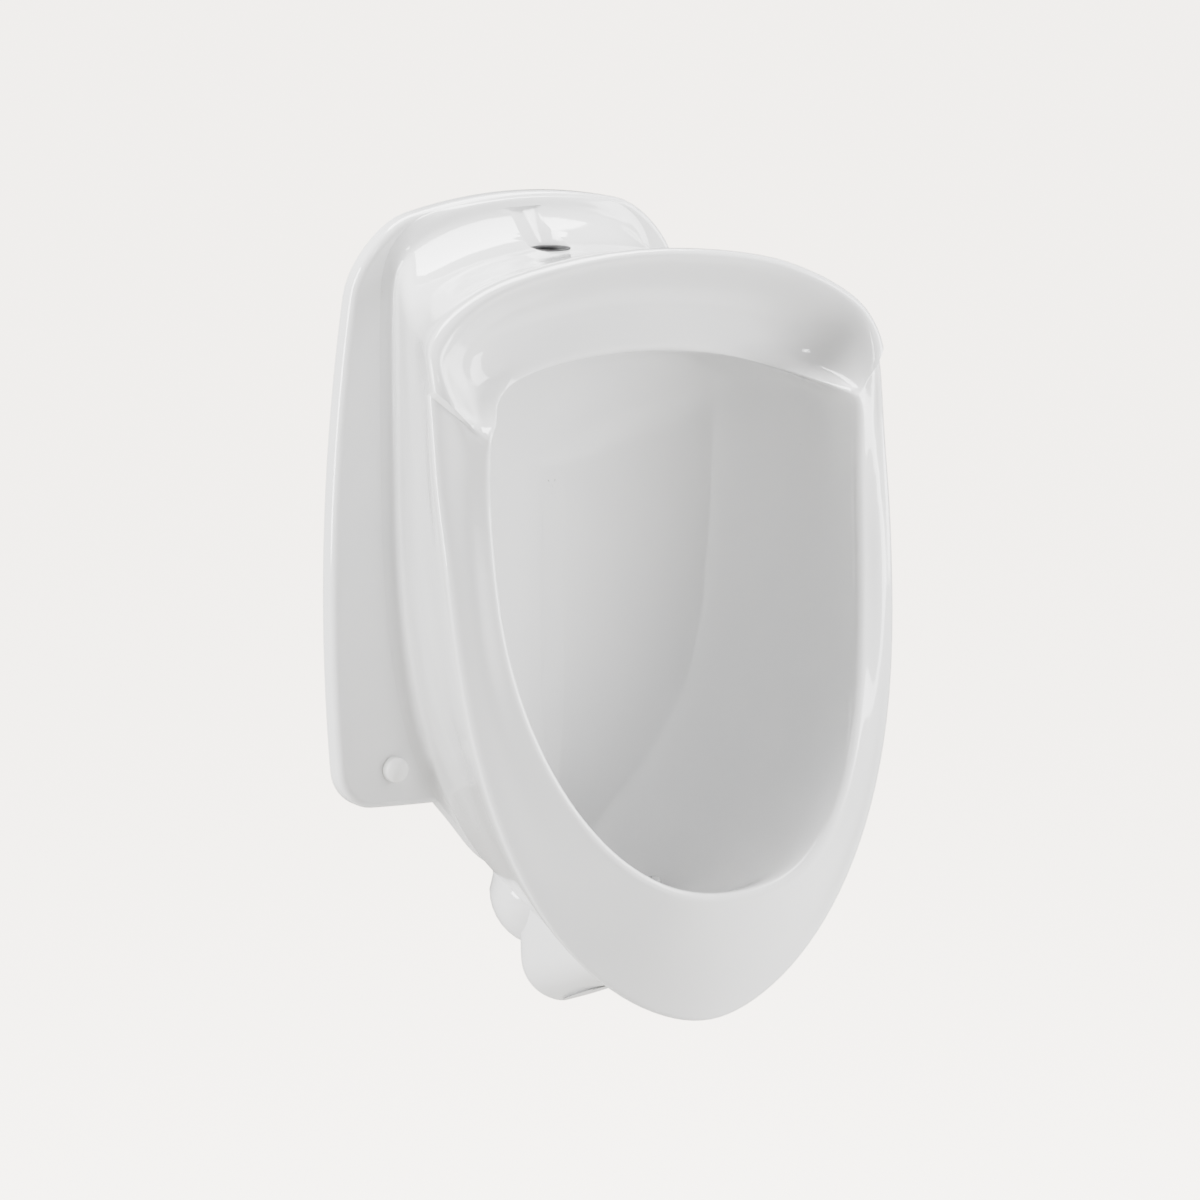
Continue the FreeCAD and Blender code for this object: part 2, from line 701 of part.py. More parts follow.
# ------------------------------------------------------------ the pieces on the china


def make_inlet_seal():
    """A rubber sleeve in the inlet hole, with a flange under the chamber's roof."""
    foot = "chamber_roof - inlet_seal_flange_depth"
    y = "-inlet_reach"
    sleeve = solid(
        "Cylinder", "inlet_sleeve", y=y, z=foot, Radius="inlet_bore - seal_clearance",
        Height="inlet_seal_top - chamber_roof + inlet_seal_flange_depth",
    )
    flange = solid(
        "Cylinder", "inlet_flange", y=y, z=foot, Radius="inlet_seal_flange",
        Height="inlet_seal_flange_depth",
    )
    bore = solid(
        "Cylinder", "inlet_seal_drill", y=y, z="chamber_floor", Radius="inlet_seal_bore",
        Height="inlet_top - chamber_floor",
    )
    return cut("inlet_seal", join("inlet_seal_block", [sleeve, flange]), bore)


def make_outlet_seal():
    """A rubber collar in the outlet socket, which the waste pipe pushes into."""
    collar = solid(
        "Cylinder", "outlet_collar", z="outlet_height", turn=OUT_OF_THE_WALL,
        Radius="outlet_socket - seal_clearance", Height="outlet_socket_depth",
    )
    bore = solid(
        "Cylinder", "outlet_seal_drill", z="outlet_height", turn=OUT_OF_THE_WALL,
        Radius="outlet_seal_bore", Height="outlet_socket_depth - outlet_lip_depth",
    )
    lip = solid(
        "Cylinder", "outlet_lip_drill", z="outlet_height", turn=OUT_OF_THE_WALL,
        Radius="outlet_lip_bore", Height="outlet_socket_depth",
    )
    return cut("outlet_seal", collar, join("outlet_seal_room", [bore, lip]))


def make_strainer():
    """A lift-out strainer: a domed sheet steel plate with drain holes and a skirt."""
    y = "-trap_centre_reach - trap_bend"
    plate = solid(
        "Cylinder", "strainer_plate", y=y, z="strainer_seat", Radius="strainer_radius",
        Height="strainer_steel",
    )
    skirt = solid(
        "Cylinder", "strainer_skirt_block", y=y, z="strainer_seat - strainer_skirt_depth",
        Radius="strainer_skirt", Height="strainer_skirt_depth",
    )
    dome = solid(
        "Cone", "strainer_dome_block", y=y, z="strainer_seat + strainer_steel",
        Radius1="strainer_dome_radius + strainer_steel", Radius2="strainer_dome_radius / 2",
        Height="strainer_dome",
    )
    room = solid(
        "Cylinder", "strainer_skirt_room", y=y, z="strainer_seat - strainer_skirt_depth",
        Radius="strainer_skirt - strainer_steel", Height="strainer_skirt_depth",
    )
    dome_room = solid(
        "Cone", "strainer_dome_room", y=y, z="strainer_seat", Radius1="strainer_dome_radius",
        Radius2="strainer_dome_radius / 2 - strainer_steel", Height="strainer_dome",
    )
    drills = [solid(
        "Cylinder", "strainer_drill_centre", y=y, z="strainer_seat",
        Radius="strainer_hole", Height="strainer_dome * 2",
    )]
    for ring, count in ((1, 6), (2, 12)):
        for place in range(count):
            turn = 2 * math.pi * place / count
            drills.append(solid(
                "Cylinder", "strainer_drill_%d_%d" % (ring, place + 1),
                x="strainer_dome_radius * %.4f" % (0.42 * ring * math.cos(turn)),
                y=y + " + strainer_dome_radius * %.4f" % (0.42 * ring * math.sin(turn)),
                z="strainer_seat", Radius="strainer_hole", Height="strainer_dome * 2",
            ))
    block = join("strainer_block", [plate, skirt, dome])
    return cut("strainer", block, join("strainer_room", [room, dome_room] + drills))


# -------------------------------------------------------------- hangers and fixings


def dimensioned_outline(body, role, corners):
    """A closed sketch whose corners follow sums of sheet names."""
    sketch = body.newObject("Sketcher::SketchObject", body.Name + "_outline")
    sketch.AttachmentSupport = [(plane_of(body, role), "")]
    sketch.MapMode = "FlatFace"
    places = [Vector(worked_out(across), worked_out(up), 0) for across, up in corners]
    count = len(places)
    for number in range(count):
        sketch.addGeometry(Part.LineSegment(places[number], places[(number + 1) % count]))
    for number, (across, up) in enumerate(corners):
        following = (number + 1) % count
        sketch.addConstraint(Sketcher.Constraint("Coincident", number, 2, following, 1))
        for kind, formula in (("DistanceX", across), ("DistanceY", up)):
            tie = sketch.addConstraint(Sketcher.Constraint(
                kind, -1, 1, number, 1, worked_out(formula)))
            if formula != "0":
                sketch.setExpression("Constraints[%d]" % tie, bound(formula))
    return sketch


def worked_out(formula):
    """The value of a sum of sheet names."""
    value, sign = 0.0, 1.0
    for word in formula.split():
        if word in ("+", "-"):
            sign = 1.0 if word == "+" else -1.0
        elif word != "0":
            value += sign * size(word)
    return value


def make_hanger(side, word):
    """A steel wall hanger: a plate with a hook that the china's ledge sits in."""
    body = doc.addObject("PartDesign::Body", "hanger_" + word)
    corners = (
        ("0", "- hanger_height"),
        ("0", "0"),
        ("- hanger_reach + hanger_steel", "0"),
        ("- hanger_reach + hanger_steel", "hanger_lip"),
        ("- hanger_reach", "hanger_lip"),
        ("- hanger_reach", "- hanger_steel"),
        ("- hanger_steel", "- hanger_steel"),
        ("- hanger_steel", "- hanger_height"),
    )
    profile = dimensioned_outline(body, "YZ_Plane", corners)
    pad = body.newObject("PartDesign::Pad", "hanger_pad_" + word)
    pad.Profile = profile
    pad.SideType = "Symmetric"
    pad.setExpression("Length", "sizes.hanger_width")
    doc.recompute()
    holes = body.newObject("Sketcher::SketchObject", "hanger_holes_" + word)
    holes.AttachmentSupport = [(plane_of(body, "XZ_Plane"), "")]
    holes.MapMode = "FlatFace"
    radius = size("screw_radius") + size("hole_clearance")
    for number, way in enumerate((LEFT, RIGHT)):
        place = Vector(way * size("hanger_screw_half_spacing"), -size("hanger_screw_drop"), 0)
        holes.addGeometry(Part.Circle(place, Vector(0, 0, 1), radius))
        for kind, formula in (
            ("DistanceX", "%d * hanger_screw_half_spacing" % way),
            ("DistanceY", "-1 * hanger_screw_drop"),
        ):
            value = place.x if kind == "DistanceX" else place.y
            tie = holes.addConstraint(Sketcher.Constraint(kind, -1, 1, number, 3, value))
            holes.setExpression("Constraints[%d]" % tie, bound(formula))
        tie = holes.addConstraint(Sketcher.Constraint("Radius", number, radius))
        holes.setExpression("Constraints[%d]" % tie, bound("screw_radius + hole_clearance"))
    pocket = body.newObject("PartDesign::Pocket", "hanger_pocket_cut_" + word)
    pocket.Profile = holes
    pocket.SideType = "Symmetric"
    pocket.setExpression("Length", "3 * sizes.hanger_steel")
    put(body, x="%d * hanger_half_spacing" % side, z="hanger_ledge")
    return body


def make_screw(name, x, z, seat):
    """A hexagon headed screw into the wall: its head sits at this distance from the wall."""
    y = "-1 * (%s)" % seat
    head = solid(
        "Prism", name + "_head", x=x, y=y, z=z, turn=OUT_OF_THE_WALL,
        Circumradius="screw_head_radius", Height="screw_head_depth",
    )
    neck = solid(
        "Cylinder", name + "_neck", x=x, y=y, z=z, turn=INTO_THE_WALL,
        Radius="screw_neck", Height=seat + " + thread_start",
    )
    thread = solid(
        "Cylinder", name + "_thread", x=x, y="thread_start", z=z, turn=INTO_THE_WALL,
        Radius="screw_radius", Height="thread_length",
    )
    tip = solid(
        "Cone", name + "_tip", x=x, y="thread_start + thread_length", z=z,
        turn=INTO_THE_WALL, Radius1="screw_radius", Radius2="screw_radius / 6",
        Height="screw_tip",
    )
    return join(name, [head, neck, thread, tip])


def make_ring(name, x, z, seat, radius, bore, depth):
    """A flat ring that stands out from this distance from the wall."""
    y = "-1 * (%s)" % seat
    disc = solid(
        "Cylinder", name + "_disc", x=x, y=y, z=z, turn=OUT_OF_THE_WALL, Radius=radius,
        Height=depth,
    )
    hole = solid(
        "Cylinder", name + "_hole", x=x, y=y, z=z, turn=OUT_OF_THE_WALL, Radius=bore,
        Height=depth,
    )
    return cut(name, disc, hole)


def make_hanger_fasteners():
    """Two screws with washers through each hanger."""
    screws, washers = [], []
    for side, word in SIDES:
        for way, place in ((LEFT, "outer"), (RIGHT, "inner")):
            x = "%d * hanger_half_spacing + %d * hanger_screw_half_spacing" % (side, way)
            z = "hanger_ledge - hanger_screw_drop"
            name = "%s_%s" % (word, place)
            screws.append(make_screw(
                "hanger_screw_" + name, x, z, "hanger_steel + washer_depth"))
            washers.append(make_ring(
                "hanger_washer_" + name, x, z, "hanger_steel", "washer_radius",
                "screw_radius + hole_clearance", "washer_depth"))
    return [group("hanger_screws", screws), group("hanger_washers", washers)]


def make_fixing_fasteners():
    """The two lower fixings: sleeve, washer, cap disc and screw."""
    sleeves, washers, bases, screws = [], [], [], []
    for side, word in SIDES:
        x, z = "%d * fixing_half_spacing" % side, "fixing_height"
        stack = "plate_depth"
        flange = solid(
            "Cylinder", "sleeve_flange_" + word, x=x, y="-plate_depth", z=z,
            turn=OUT_OF_THE_WALL, Radius="sleeve_flange", Height="sleeve_flange_depth",
        )
        tube = solid(
            "Cylinder", "sleeve_tube_" + word, x=x, z=z, turn=OUT_OF_THE_WALL,
            Radius="fixing_bore - sleeve_clearance", Height="plate_depth",
        )
        bore = solid(
            "Cylinder", "sleeve_bore_" + word, x=x, z=z, turn=OUT_OF_THE_WALL,
            Radius="screw_radius + hole_clearance",
            Height="plate_depth + sleeve_flange_depth",
        )
        sleeves.append(cut(
            "fixing_sleeve_" + word, join("sleeve_block_" + word, [flange, tube]), bore))
        stack += " + sleeve_flange_depth"
        bases.append(make_ring(
            "cap_base_" + word, x, z, stack, "base_radius",
            "screw_radius + hole_clearance", "base_depth"))
        stack += " + base_depth"
        washers.append(make_ring(
            "fixing_washer_" + word, x, z, stack, "washer_radius",
            "screw_radius + hole_clearance", "washer_depth"))
        stack += " + washer_depth"
        screws.append(make_screw("fixing_screw_" + word, x, z, stack))
    return [
        group("fixing_sleeves", sleeves), group("cap_bases", bases),
        group("fixing_washers", washers), group("fixing_screws", screws),
    ]


def make_cap(side, word):
    """A white cap over a lower fixing: a straight rim under a low dome, hollow inside."""
    x, z = "%d * fixing_half_spacing" % side, "fixing_height"
    foot = "-plate_depth - cap_clearance"
    rim = solid(
        "Cylinder", "cap_rim_" + word, x=x, y=foot, z=z, turn=OUT_OF_THE_WALL,
        Radius="cap_radius", Height="cap_rim_depth",
    )
    dome = solid(
        "Ellipsoid", "cap_dome_" + word, x=x, y=foot + " - cap_rim_depth", z=z,
        turn=OUT_OF_THE_WALL, Radius1="cap_dome", Radius2="cap_radius", Radius3="cap_radius",
        Angle1="0",
    )
    room = solid(
        "Cylinder", "cap_room_" + word, x=x, y=foot, z=z, turn=OUT_OF_THE_WALL,
        Radius="cap_radius - cap_wall", Height="cap_rim_depth",
    )
    dome_room = solid(
        "Ellipsoid", "cap_dome_room_" + word, x=x, y=foot + " - cap_rim_depth", z=z,
        turn=OUT_OF_THE_WALL, Radius1="cap_dome - cap_wall",
        Radius2="cap_radius - cap_wall", Radius3="cap_radius - cap_wall",
    )
    return cut(
        "bolt_cap_" + word, join("cap_block_" + word, [rim, dome]),
        join("cap_hollow_" + word, [room, dome_room]))


def make_everything():
    """The pieces of the urinal, one object each."""
    pieces = [make_china(), make_inlet_seal(), make_outlet_seal(), make_strainer()]
    pieces += [make_hanger(side, word) for side, word in SIDES]
    pieces += make_hanger_fasteners()
    pieces += make_fixing_fasteners()
    pieces += [make_cap(side, word) for side, word in SIDES]
    return pieces


def check_document(pieces):
    """Stops before anything is written if a feature or a piece has failed."""
    for thing in doc.Objects:
        if "Invalid" in thing.State or "Error" in thing.State:
            raise RuntimeError("%s is in state %s" % (thing.Name, thing.State))
    for piece in pieces:
        if piece.Shape.isNull() or not piece.Shape.isValid() or not piece.Shape.Solids:
            raise RuntimeError("%s has no valid solid" % piece.Label)


parts = make_everything()
doc.recompute()
check_document(parts)
os.makedirs("parts", exist_ok=True)
for item in parts:
    item.Shape.exportStep("parts/%s.step" % item.Label)
    print("%-16s %2d solid(s) %10.0f mm3" % (
        item.Label, len(item.Shape.Solids), item.Shape.Volume))
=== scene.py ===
import math

import bmesh
import bpy
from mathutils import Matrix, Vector


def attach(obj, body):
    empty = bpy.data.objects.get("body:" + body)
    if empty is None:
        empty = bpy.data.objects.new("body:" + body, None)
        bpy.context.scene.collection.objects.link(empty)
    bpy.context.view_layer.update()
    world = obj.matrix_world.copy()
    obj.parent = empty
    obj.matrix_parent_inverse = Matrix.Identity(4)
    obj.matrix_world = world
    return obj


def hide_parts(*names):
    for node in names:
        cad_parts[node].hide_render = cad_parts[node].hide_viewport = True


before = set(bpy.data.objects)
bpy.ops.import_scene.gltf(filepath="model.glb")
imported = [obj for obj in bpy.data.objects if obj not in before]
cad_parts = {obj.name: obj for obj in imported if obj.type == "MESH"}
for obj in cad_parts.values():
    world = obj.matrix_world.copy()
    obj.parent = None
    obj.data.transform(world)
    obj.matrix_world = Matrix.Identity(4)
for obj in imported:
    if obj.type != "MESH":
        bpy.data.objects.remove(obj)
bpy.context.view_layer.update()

# A wall hung urinal of glazed vitreous china. Lengths below are in millimetres, as a potter
# would mark them on the model, and become metres where a vertex is placed.
# X runs to the right of someone facing it, Y into the wall, Z up. A reach is a distance out
# of the wall, which is along -Y.

MM = 0.001
UP, OUT_OF_THE_WALL = Vector((0, 0, 1)), Vector((0, -1, 0))

# The back plate.
PLATE_DEPTH = 16
PLATE_FRONT_ROUND = 7
PLATE_FOOT, PLATE_SHOULDER = -183, 296
PLATE_FOOT_HALF_WIDTH, PLATE_SHOULDER_HALF_WIDTH = 174, 151
PLATE_SIDE_BOW, PLATE_CROWN, PLATE_FOOT_BOW = 17.5, 26, 8
PLATE_SHOULDER_ROUND, PLATE_FOOT_ROUND = 50, 30
PLATE_CORNER_LIFT = 12
PLATE_EDGE_INSET = 2

# The fillet where the body leaves the plate: (distance before its front, share of the fillet).
FILLET_AT_THE_PLATE = 22
FILLET_SECTION = ((-0.6, 1), (0.8, 0.7), (4.5, 0.34))
FILLET_FADE_START, FILLET_FADE = 6, 30
FILLET_STEP = 0.5

# The body's waist between plate and rim: (share of the way, extra reach, share of the trough).
TROUGH_DEPTH = 29
WAIST = ((0.1, PLATE_DEPTH * 0.3, 0.2), (0.32, 0, 1), (0.66, 0, 0.6))

# The rim and the hood.
RIM_EDGE_ROUND, RIM_SWELL, RIDGE_ROUND = 9, 3, 8
COVE_DEPTH = 20
HOOD_UNDERCUT, HOOD_UNDERCUT_FADE, HOOD_EDGE = 9, 105, 2.5
HOOD_OUTER_END, HOOD_INNER_END = (216, -247, 206), (172, -255, 160)
HOOD_CUTS = (-3, 0, HOOD_EDGE, 6, 12, 22, 36, 54, 76)

# The part of the skin at the hood's ends that is cut finer, by X, Y and Z.
HOOD_END_INSIDE, HOOD_END_BACK, HOOD_END_FOOT, HOOD_END_TOP = 150, -170, 40, 260

# Where the undercut sets in, across and out of the wall, and how far on it is whole.
UNDERCUT_INSIDE, UNDERCUT_WIDTH, UNDERCUT_REACH, UNDERCUT_DEPTH = 175, 38, 190, 45

# The bowl's back, and how many control points a ring's foot and head take.
BOWL_BACK_REACH, BOWL_ROOF_REACH, BOWL_BACK_RISE = 66, 116, 12
BOWL_BACK_DROP, BOWL_BACK_SLOPE = 0.45, 0.3
BOWL_BACK_TURNS = (26, 45, 62, 77, 85)
FOOT_STEPS, HOOD_STEPS = 8, 6

# The trap. Its section is (distance below its centre line, radius).
TRAP_REACH, TRAP_BEND, TRAP_FRONT_FOOT, TRAP_REAR_FOOT, TRAP_BORE = 126, 36, -283, -317, 24
TRAP_SIDES, TRAP_WAIST = 32, 0.1
TRAP_SECTION = ((-52, 40), (-20, 40), (0, 40), (12, 38.4), (23, 33), (32, 24.5), (37.5, 14), (39.5, 6))
HEEL_REACH, HEEL_HEIGHT, HEEL_RADIUS = 58, -266, 49
OUTLET_HEIGHT, OUTLET_SOCKET, OUTLET_SOCKET_DEPTH, OUTLET_BOSS, ELBOW_BEND = -205, 33, 26, 46, 48

# The openings.
INLET_REACH, INLET_BORE, INLET_FLOOR, INLET_MOUTH = 65, 16.5, 232, 281
DRAIN_REACH, DRAIN_LENGTH, STRAINER_SEAT, STRAINER_RECESS, STRAINER_CLEARANCE = 162, 40, -254, 31, 45
OUTLET_DRILL_LENGTH, WALL_OVERRUN = 50, 5
WASH_HOLE_REACH, WASH_HOLE_PITCH, WASH_HOLES, WASH_HOLE_RADIUS = 138, 20, 9, 3
WASH_HOLE_FOOT, WASH_HOLE_LENGTH = 185, 45
FIXING_SPACING, FIXING_HEIGHT, FIXING_BORE = 125, -153, 4.8
HANGER_SPACING, HANGER_LEDGE = 85, 232
POCKET_WIDTH, POCKET_HEIGHT, POCKET_DEPTH = 48, 52, 15
POCKET_LIP, POCKET_LIP_RISE, POCKET_LIP_DROP = 8, 10, 2

# The seals' ribs, as distances along them.
INLET_SEAL_RIBS, OUTLET_SEAL_RIBS = (274, 268.5, 263), (6, 11.5, 17)

# The studio, in metres and degrees.
PAPER_WHITE = (1, 0.925, 0.83, 1)
FLOOR_SIZE, FLOOR_HEIGHT = 80, -0.9
FLOOR_GLOW, AIR_GLOW = (0.1, 5.6), (0.07, 5.8)
CAMERA_AZIMUTH, CAMERA_ELEVATION, CAMERA_DISTANCE = -33, 12, 4.0
CAMERA_TARGET, CAMERA_LENS = (-0.0034, -0.1453, 0), 146.3


# ---------------------------------------------------------------- working by hand


def deselect_all():
    if bpy.context.object and bpy.context.object.mode != "OBJECT":
        bpy.ops.object.mode_set(mode="OBJECT")
    bpy.ops.object.select_all(action="DESELECT")


def take_up(piece):
    """Makes a piece the only selected and active one."""
    deselect_all()
    piece.select_set(True)
    bpy.context.view_layer.objects.active = piece


def begin(name):
    """Names the primitive that was just added and opens it for editing."""
    piece = bpy.context.object
    piece.name = piece.data.name = name
    if piece.mode != "EDIT":
        bpy.ops.object.mode_set(mode="EDIT")
    return piece


def begin_ring(name, points, fill="NGON"):
    """Begins a piece with a circle whose vertices are set at the given points."""
    deselect_all()
    bpy.ops.mesh.primitive_circle_add(vertices=len(points), radius=1, fill_type=fill)
    piece = begin(name)
    mesh = bmesh.from_edit_mesh(piece.data)
    for vertex, point in zip(sorted(mesh.verts, key=lambda v: v.index), points):
        vertex.co = point * MM
    return piece


def put_down(piece):
    """Closes a piece's editing and settles its place into its mesh."""
    if piece.mode != "OBJECT":
        bpy.ops.object.mode_set(mode="OBJECT")
    take_up(piece)
    bpy.ops.object.transform_apply(location=True, rotation=True, scale=True)
    return piece


def pick(piece, choose, kind="VERT"):
    """Selects the vertices, edges or faces that a test chooses, and nothing else."""
    bpy.ops.mesh.select_mode(type=kind)
    bpy.ops.mesh.select_all(action="DESELECT")
    mesh = bmesh.from_edit_mesh(piece.data)
    chosen = {"VERT": mesh.verts, "EDGE": mesh.edges, "FACE": mesh.faces}[kind]
    for element in chosen:
        if choose(element):
            element.select_set(True)
    mesh.select_flush_mode()
    bmesh.update_edit_mesh(piece.data)


def push(x=0, y=0, z=0):
    """Extrudes what is selected by a distance."""
    bpy.ops.mesh.extrude_region_move(TRANSFORM_OT_translate={"value": (x * MM, y * MM, z * MM)})


def turn_outwards():
    """Points every face of the closed piece in hand outwards."""
    bpy.ops.mesh.select_all(action="SELECT")
    bpy.ops.mesh.normals_make_consistent(inside=False)


def finish_with(piece, kind, **settings):
    """Adds a modifier and applies it at once."""
    take_up(piece)
    modifier = piece.modifiers.new(kind.lower(), kind)
    for name, value in settings.items():
        setattr(modifier, name, value)
    bpy.ops.object.modifier_apply(modifier=modifier.name)


def combine(base, other, operation):
    """Joins a piece to the base or cuts it out. Both are closed, as the manifold solver needs."""
    finish_with(base, "BOOLEAN", operation=operation, solver="MANIFOLD", object=other)
    mesh = other.data
    bpy.data.objects.remove(other)
    bpy.data.meshes.remove(mesh)


def extruded_through(name, rings):
    """A capped skin, extruded from ring to ring, with each vertex set in its place."""
    piece = begin_ring(name, rings[0])
    for before, after in zip(rings, rings[1:]):
        goes_to = {spot(point * MM): target for point, target in zip(before, after)}
        bpy.ops.mesh.extrude_region_move()
        mesh = bmesh.from_edit_mesh(piece.data)
        for vertex in mesh.verts:
            if vertex.select:
                vertex.co = goes_to[spot(vertex.co)] * MM
        bmesh.update_edit_mesh(piece.data)
    return piece


def spot(place):
    return tuple(round(c, 6) for c in place)


# ---------------------------------------------------------------- the rings of the china


class Ring:
    """A closed line around the china, seen from the front, with its distance from the wall.

    Seen from the front, its half width is `width`. The foot curves from `low` down to `bottom`,
    with `fullness` and `point` as its powers. The head curves from `high` up by `rise`, with
    `squareness` as its power, and bulges up by `crown`. Seen from the side, it has `side_reach`
    at its sides. Its reach goes to `bottom_reach` at the foot with the power `fall`, and to
    `top_reach` at the head between the heights `sweep_start` and `sweep_end`.
    """

    def __init__(self, width, bottom, low, fullness, point, high, rise, crown, squareness,
                 side_reach, bottom_reach, top_reach, fall, sweep_start, sweep_end):
        self.width, self.bottom, self.low = width, bottom, low
        self.fullness, self.point = fullness, point
        self.high, self.rise, self.crown, self.squareness = high, rise, crown, squareness
        self.side_reach, self.bottom_reach, self.top_reach = side_reach, bottom_reach, top_reach
        self.fall, self.sweep_start, self.sweep_end = fall, sweep_start, sweep_end

    def towards(self, other, share):
        mixed = [mine * (1 - share) + theirs * share
                 for mine, theirs in zip(vars(self).values(), vars(other).values())]
        return Ring(*mixed)

    def grown(self, by=0.0, out=0.0, top_out=0.0, top_up=0.0):
        """This ring made larger all round, and moved away from the wall."""
        changed = self.towards(self, 0)
        changed.width += by
        changed.bottom -= by
        changed.rise += by + top_up
        changed.side_reach += out
        changed.bottom_reach += out
        changed.top_reach += out + top_out
        return changed

    def reach(self, z):
        """Distance from the wall at this height."""
        if z < self.low:
            share = ((self.low - z) / (self.low - self.bottom)) ** self.fall
            return self.side_reach + (self.bottom_reach - self.side_reach) * share
        share = (z - self.sweep_start) / (self.sweep_end - self.sweep_start)
        share = math.sin(math.pi / 2 * min(max(share, 0), 1))
        return self.side_reach + (self.top_reach - self.side_reach) * share

    def right_half(self):
        """Its (x, z) control points from the lowest one up the right side to the highest."""
        flat = []
        for step in range(FOOT_STEPS):
            turn = math.pi / 2 * step / FOOT_STEPS
            down = (self.low - self.bottom) * math.cos(turn) ** (2 / self.fullness)
            flat.append((self.width * math.sin(turn) ** (2 / self.point), self.low - down))
        flat += [(self.width, self.low), (self.width, (self.low + self.high) / 2)]
        for step in range(HOOD_STEPS + 1):
            turn = math.pi / 2 * step / HOOD_STEPS
            across = abs(math.cos(turn)) ** (2 / self.squareness)
            up = math.sin(turn) ** (2 / self.squareness)
            flat.append((self.width * across,
                         self.high + self.rise * up + self.crown * (1 - across ** 2)))
        return flat

    def points(self, flare=0.0):
        """Its control points from the lowest one round by the right to it again."""
        flat = self.right_half()
        right = []
        for number, (x, z) in enumerate(flat):
            reach = self.reach(z)
            if flare:
                before, after = flat[max(number - 1, 0)], flat[min(number + 1, len(flat) - 1)]
                away = Vector((after[1] - before[1], before[0] - after[0])).normalized()
                x, z = flared(x, z, away, flare)
            right.append(Vector((x, -reach, z)))
        left = [Vector((-point.x, point.y, point.z)) for point in right[-2:0:-1]]
        return right + left


def flared(x, z, away, flare):
    """A point moved outwards by the fillet, as far as the plate lies behind it."""
    spread = flare * share_above_the_foot(z)
    while spread > FILLET_STEP and not on_the_plate(x + away.x * spread, z + away.y * spread):
        spread -= FILLET_STEP
    return x + away.x * spread, z + away.y * spread


def share_above_the_foot(z):
    """The fillet fades out at the plate's foot, where the body runs on below the plate."""
    return min(max((z - PLATE_FOOT + FILLET_FADE_START) / FILLET_FADE, 0), 1)


def on_the_plate(x, z):
    """Whether a point lies inside the plate's outline, a little in from its rounded edge."""
    crown = PLATE_SHOULDER + PLATE_CROWN * (1 - (x / PLATE_SHOULDER_HALF_WIDTH) ** 2)
    corner = Vector((PLATE_SHOULDER_HALF_WIDTH - PLATE_SHOULDER_ROUND,
                     PLATE_SHOULDER + PLATE_CORNER_LIFT - PLATE_SHOULDER_ROUND))
    if x > corner.x and z > corner.y:
        return (Vector((x, z)) - corner).length < PLATE_SHOULDER_ROUND - PLATE_EDGE_INSET
    return z < crown - PLATE_EDGE_INSET and x < PLATE_SHOULDER_HALF_WIDTH - PLATE_EDGE_INSET


def root_ring():
    """The body's edge on the wall."""
    return Ring(width=116, bottom=-262, low=60, fullness=2, point=2,
                high=236, rise=60, crown=16, squareness=3.4,
                side_reach=0, bottom_reach=0, top_reach=0, fall=1, sweep_start=236, sweep_end=312)


def outer_ring():
    """The rim's outer edge, which runs on as the hood's ridge."""
    return Ring(width=217, bottom=-322, low=118, fullness=2.8, point=1.75,
                high=205, rise=47, crown=49, squareness=4.3,
                side_reach=248, bottom_reach=310, top_reach=202, fall=1,
                sweep_start=200, sweep_end=301)


def inner_ring():
    """The ridge around the bowl, which runs on as the flushing rim's lower edge."""
    return Ring(width=178, bottom=-208, low=110, fullness=2.5, point=2.3,
                high=160, rise=20, crown=36, squareness=4,
                side_reach=257, bottom_reach=347, top_reach=181, fall=1.85,
                sweep_start=174, sweep_end=205.2)


def bowl_ring():
    """The bowl half way in."""
    return Ring(width=152, bottom=-258, low=55, fullness=1.95, point=1.95,
                high=142, rise=45, crown=25, squareness=3,
                side_reach=165, bottom_reach=178, top_reach=120, fall=2,
                sweep_start=142, sweep_end=212)


def back_ring(turn):
    """The bowl's back: rings that follow a quarter of an ellipse, from its sides to its middle."""
    turn = math.radians(turn)
    ring = bowl_ring()
    side, reach = ring.width, ring.side_reach
    ring.width = side * math.cos(turn)
    narrower = side - ring.width
    ring.side_reach = reach - (reach - BOWL_BACK_REACH) * math.sin(turn)
    ring.bottom += narrower / 2
    ring.high -= narrower * BOWL_BACK_DROP
    ring.rise = BOWL_BACK_RISE + (ring.rise - BOWL_BACK_RISE) * math.cos(turn)
    ring.crown = ring.crown * math.cos(turn)
    ring.top_reach = min(ring.side_reach, BOWL_ROOF_REACH)
    ring.bottom_reach = ring.side_reach * (1 + BOWL_BACK_SLOPE * math.cos(turn))
    ring.sweep_start, ring.sweep_end = ring.high, ring.high + ring.rise + ring.crown
    return ring


def softened(rings):
    """Cuts the corners of a run of rings once, which keeps a tighter turn than the bare rings."""
    run = [rings[0]]
    for before, after in zip(rings, rings[1:]):
        for share in (0.25, 0.75):
            run.append([a.lerp(b, share) for a, b in zip(before, after)])
    return run + [rings[-1]]


# ---------------------------------------------------------------- the china


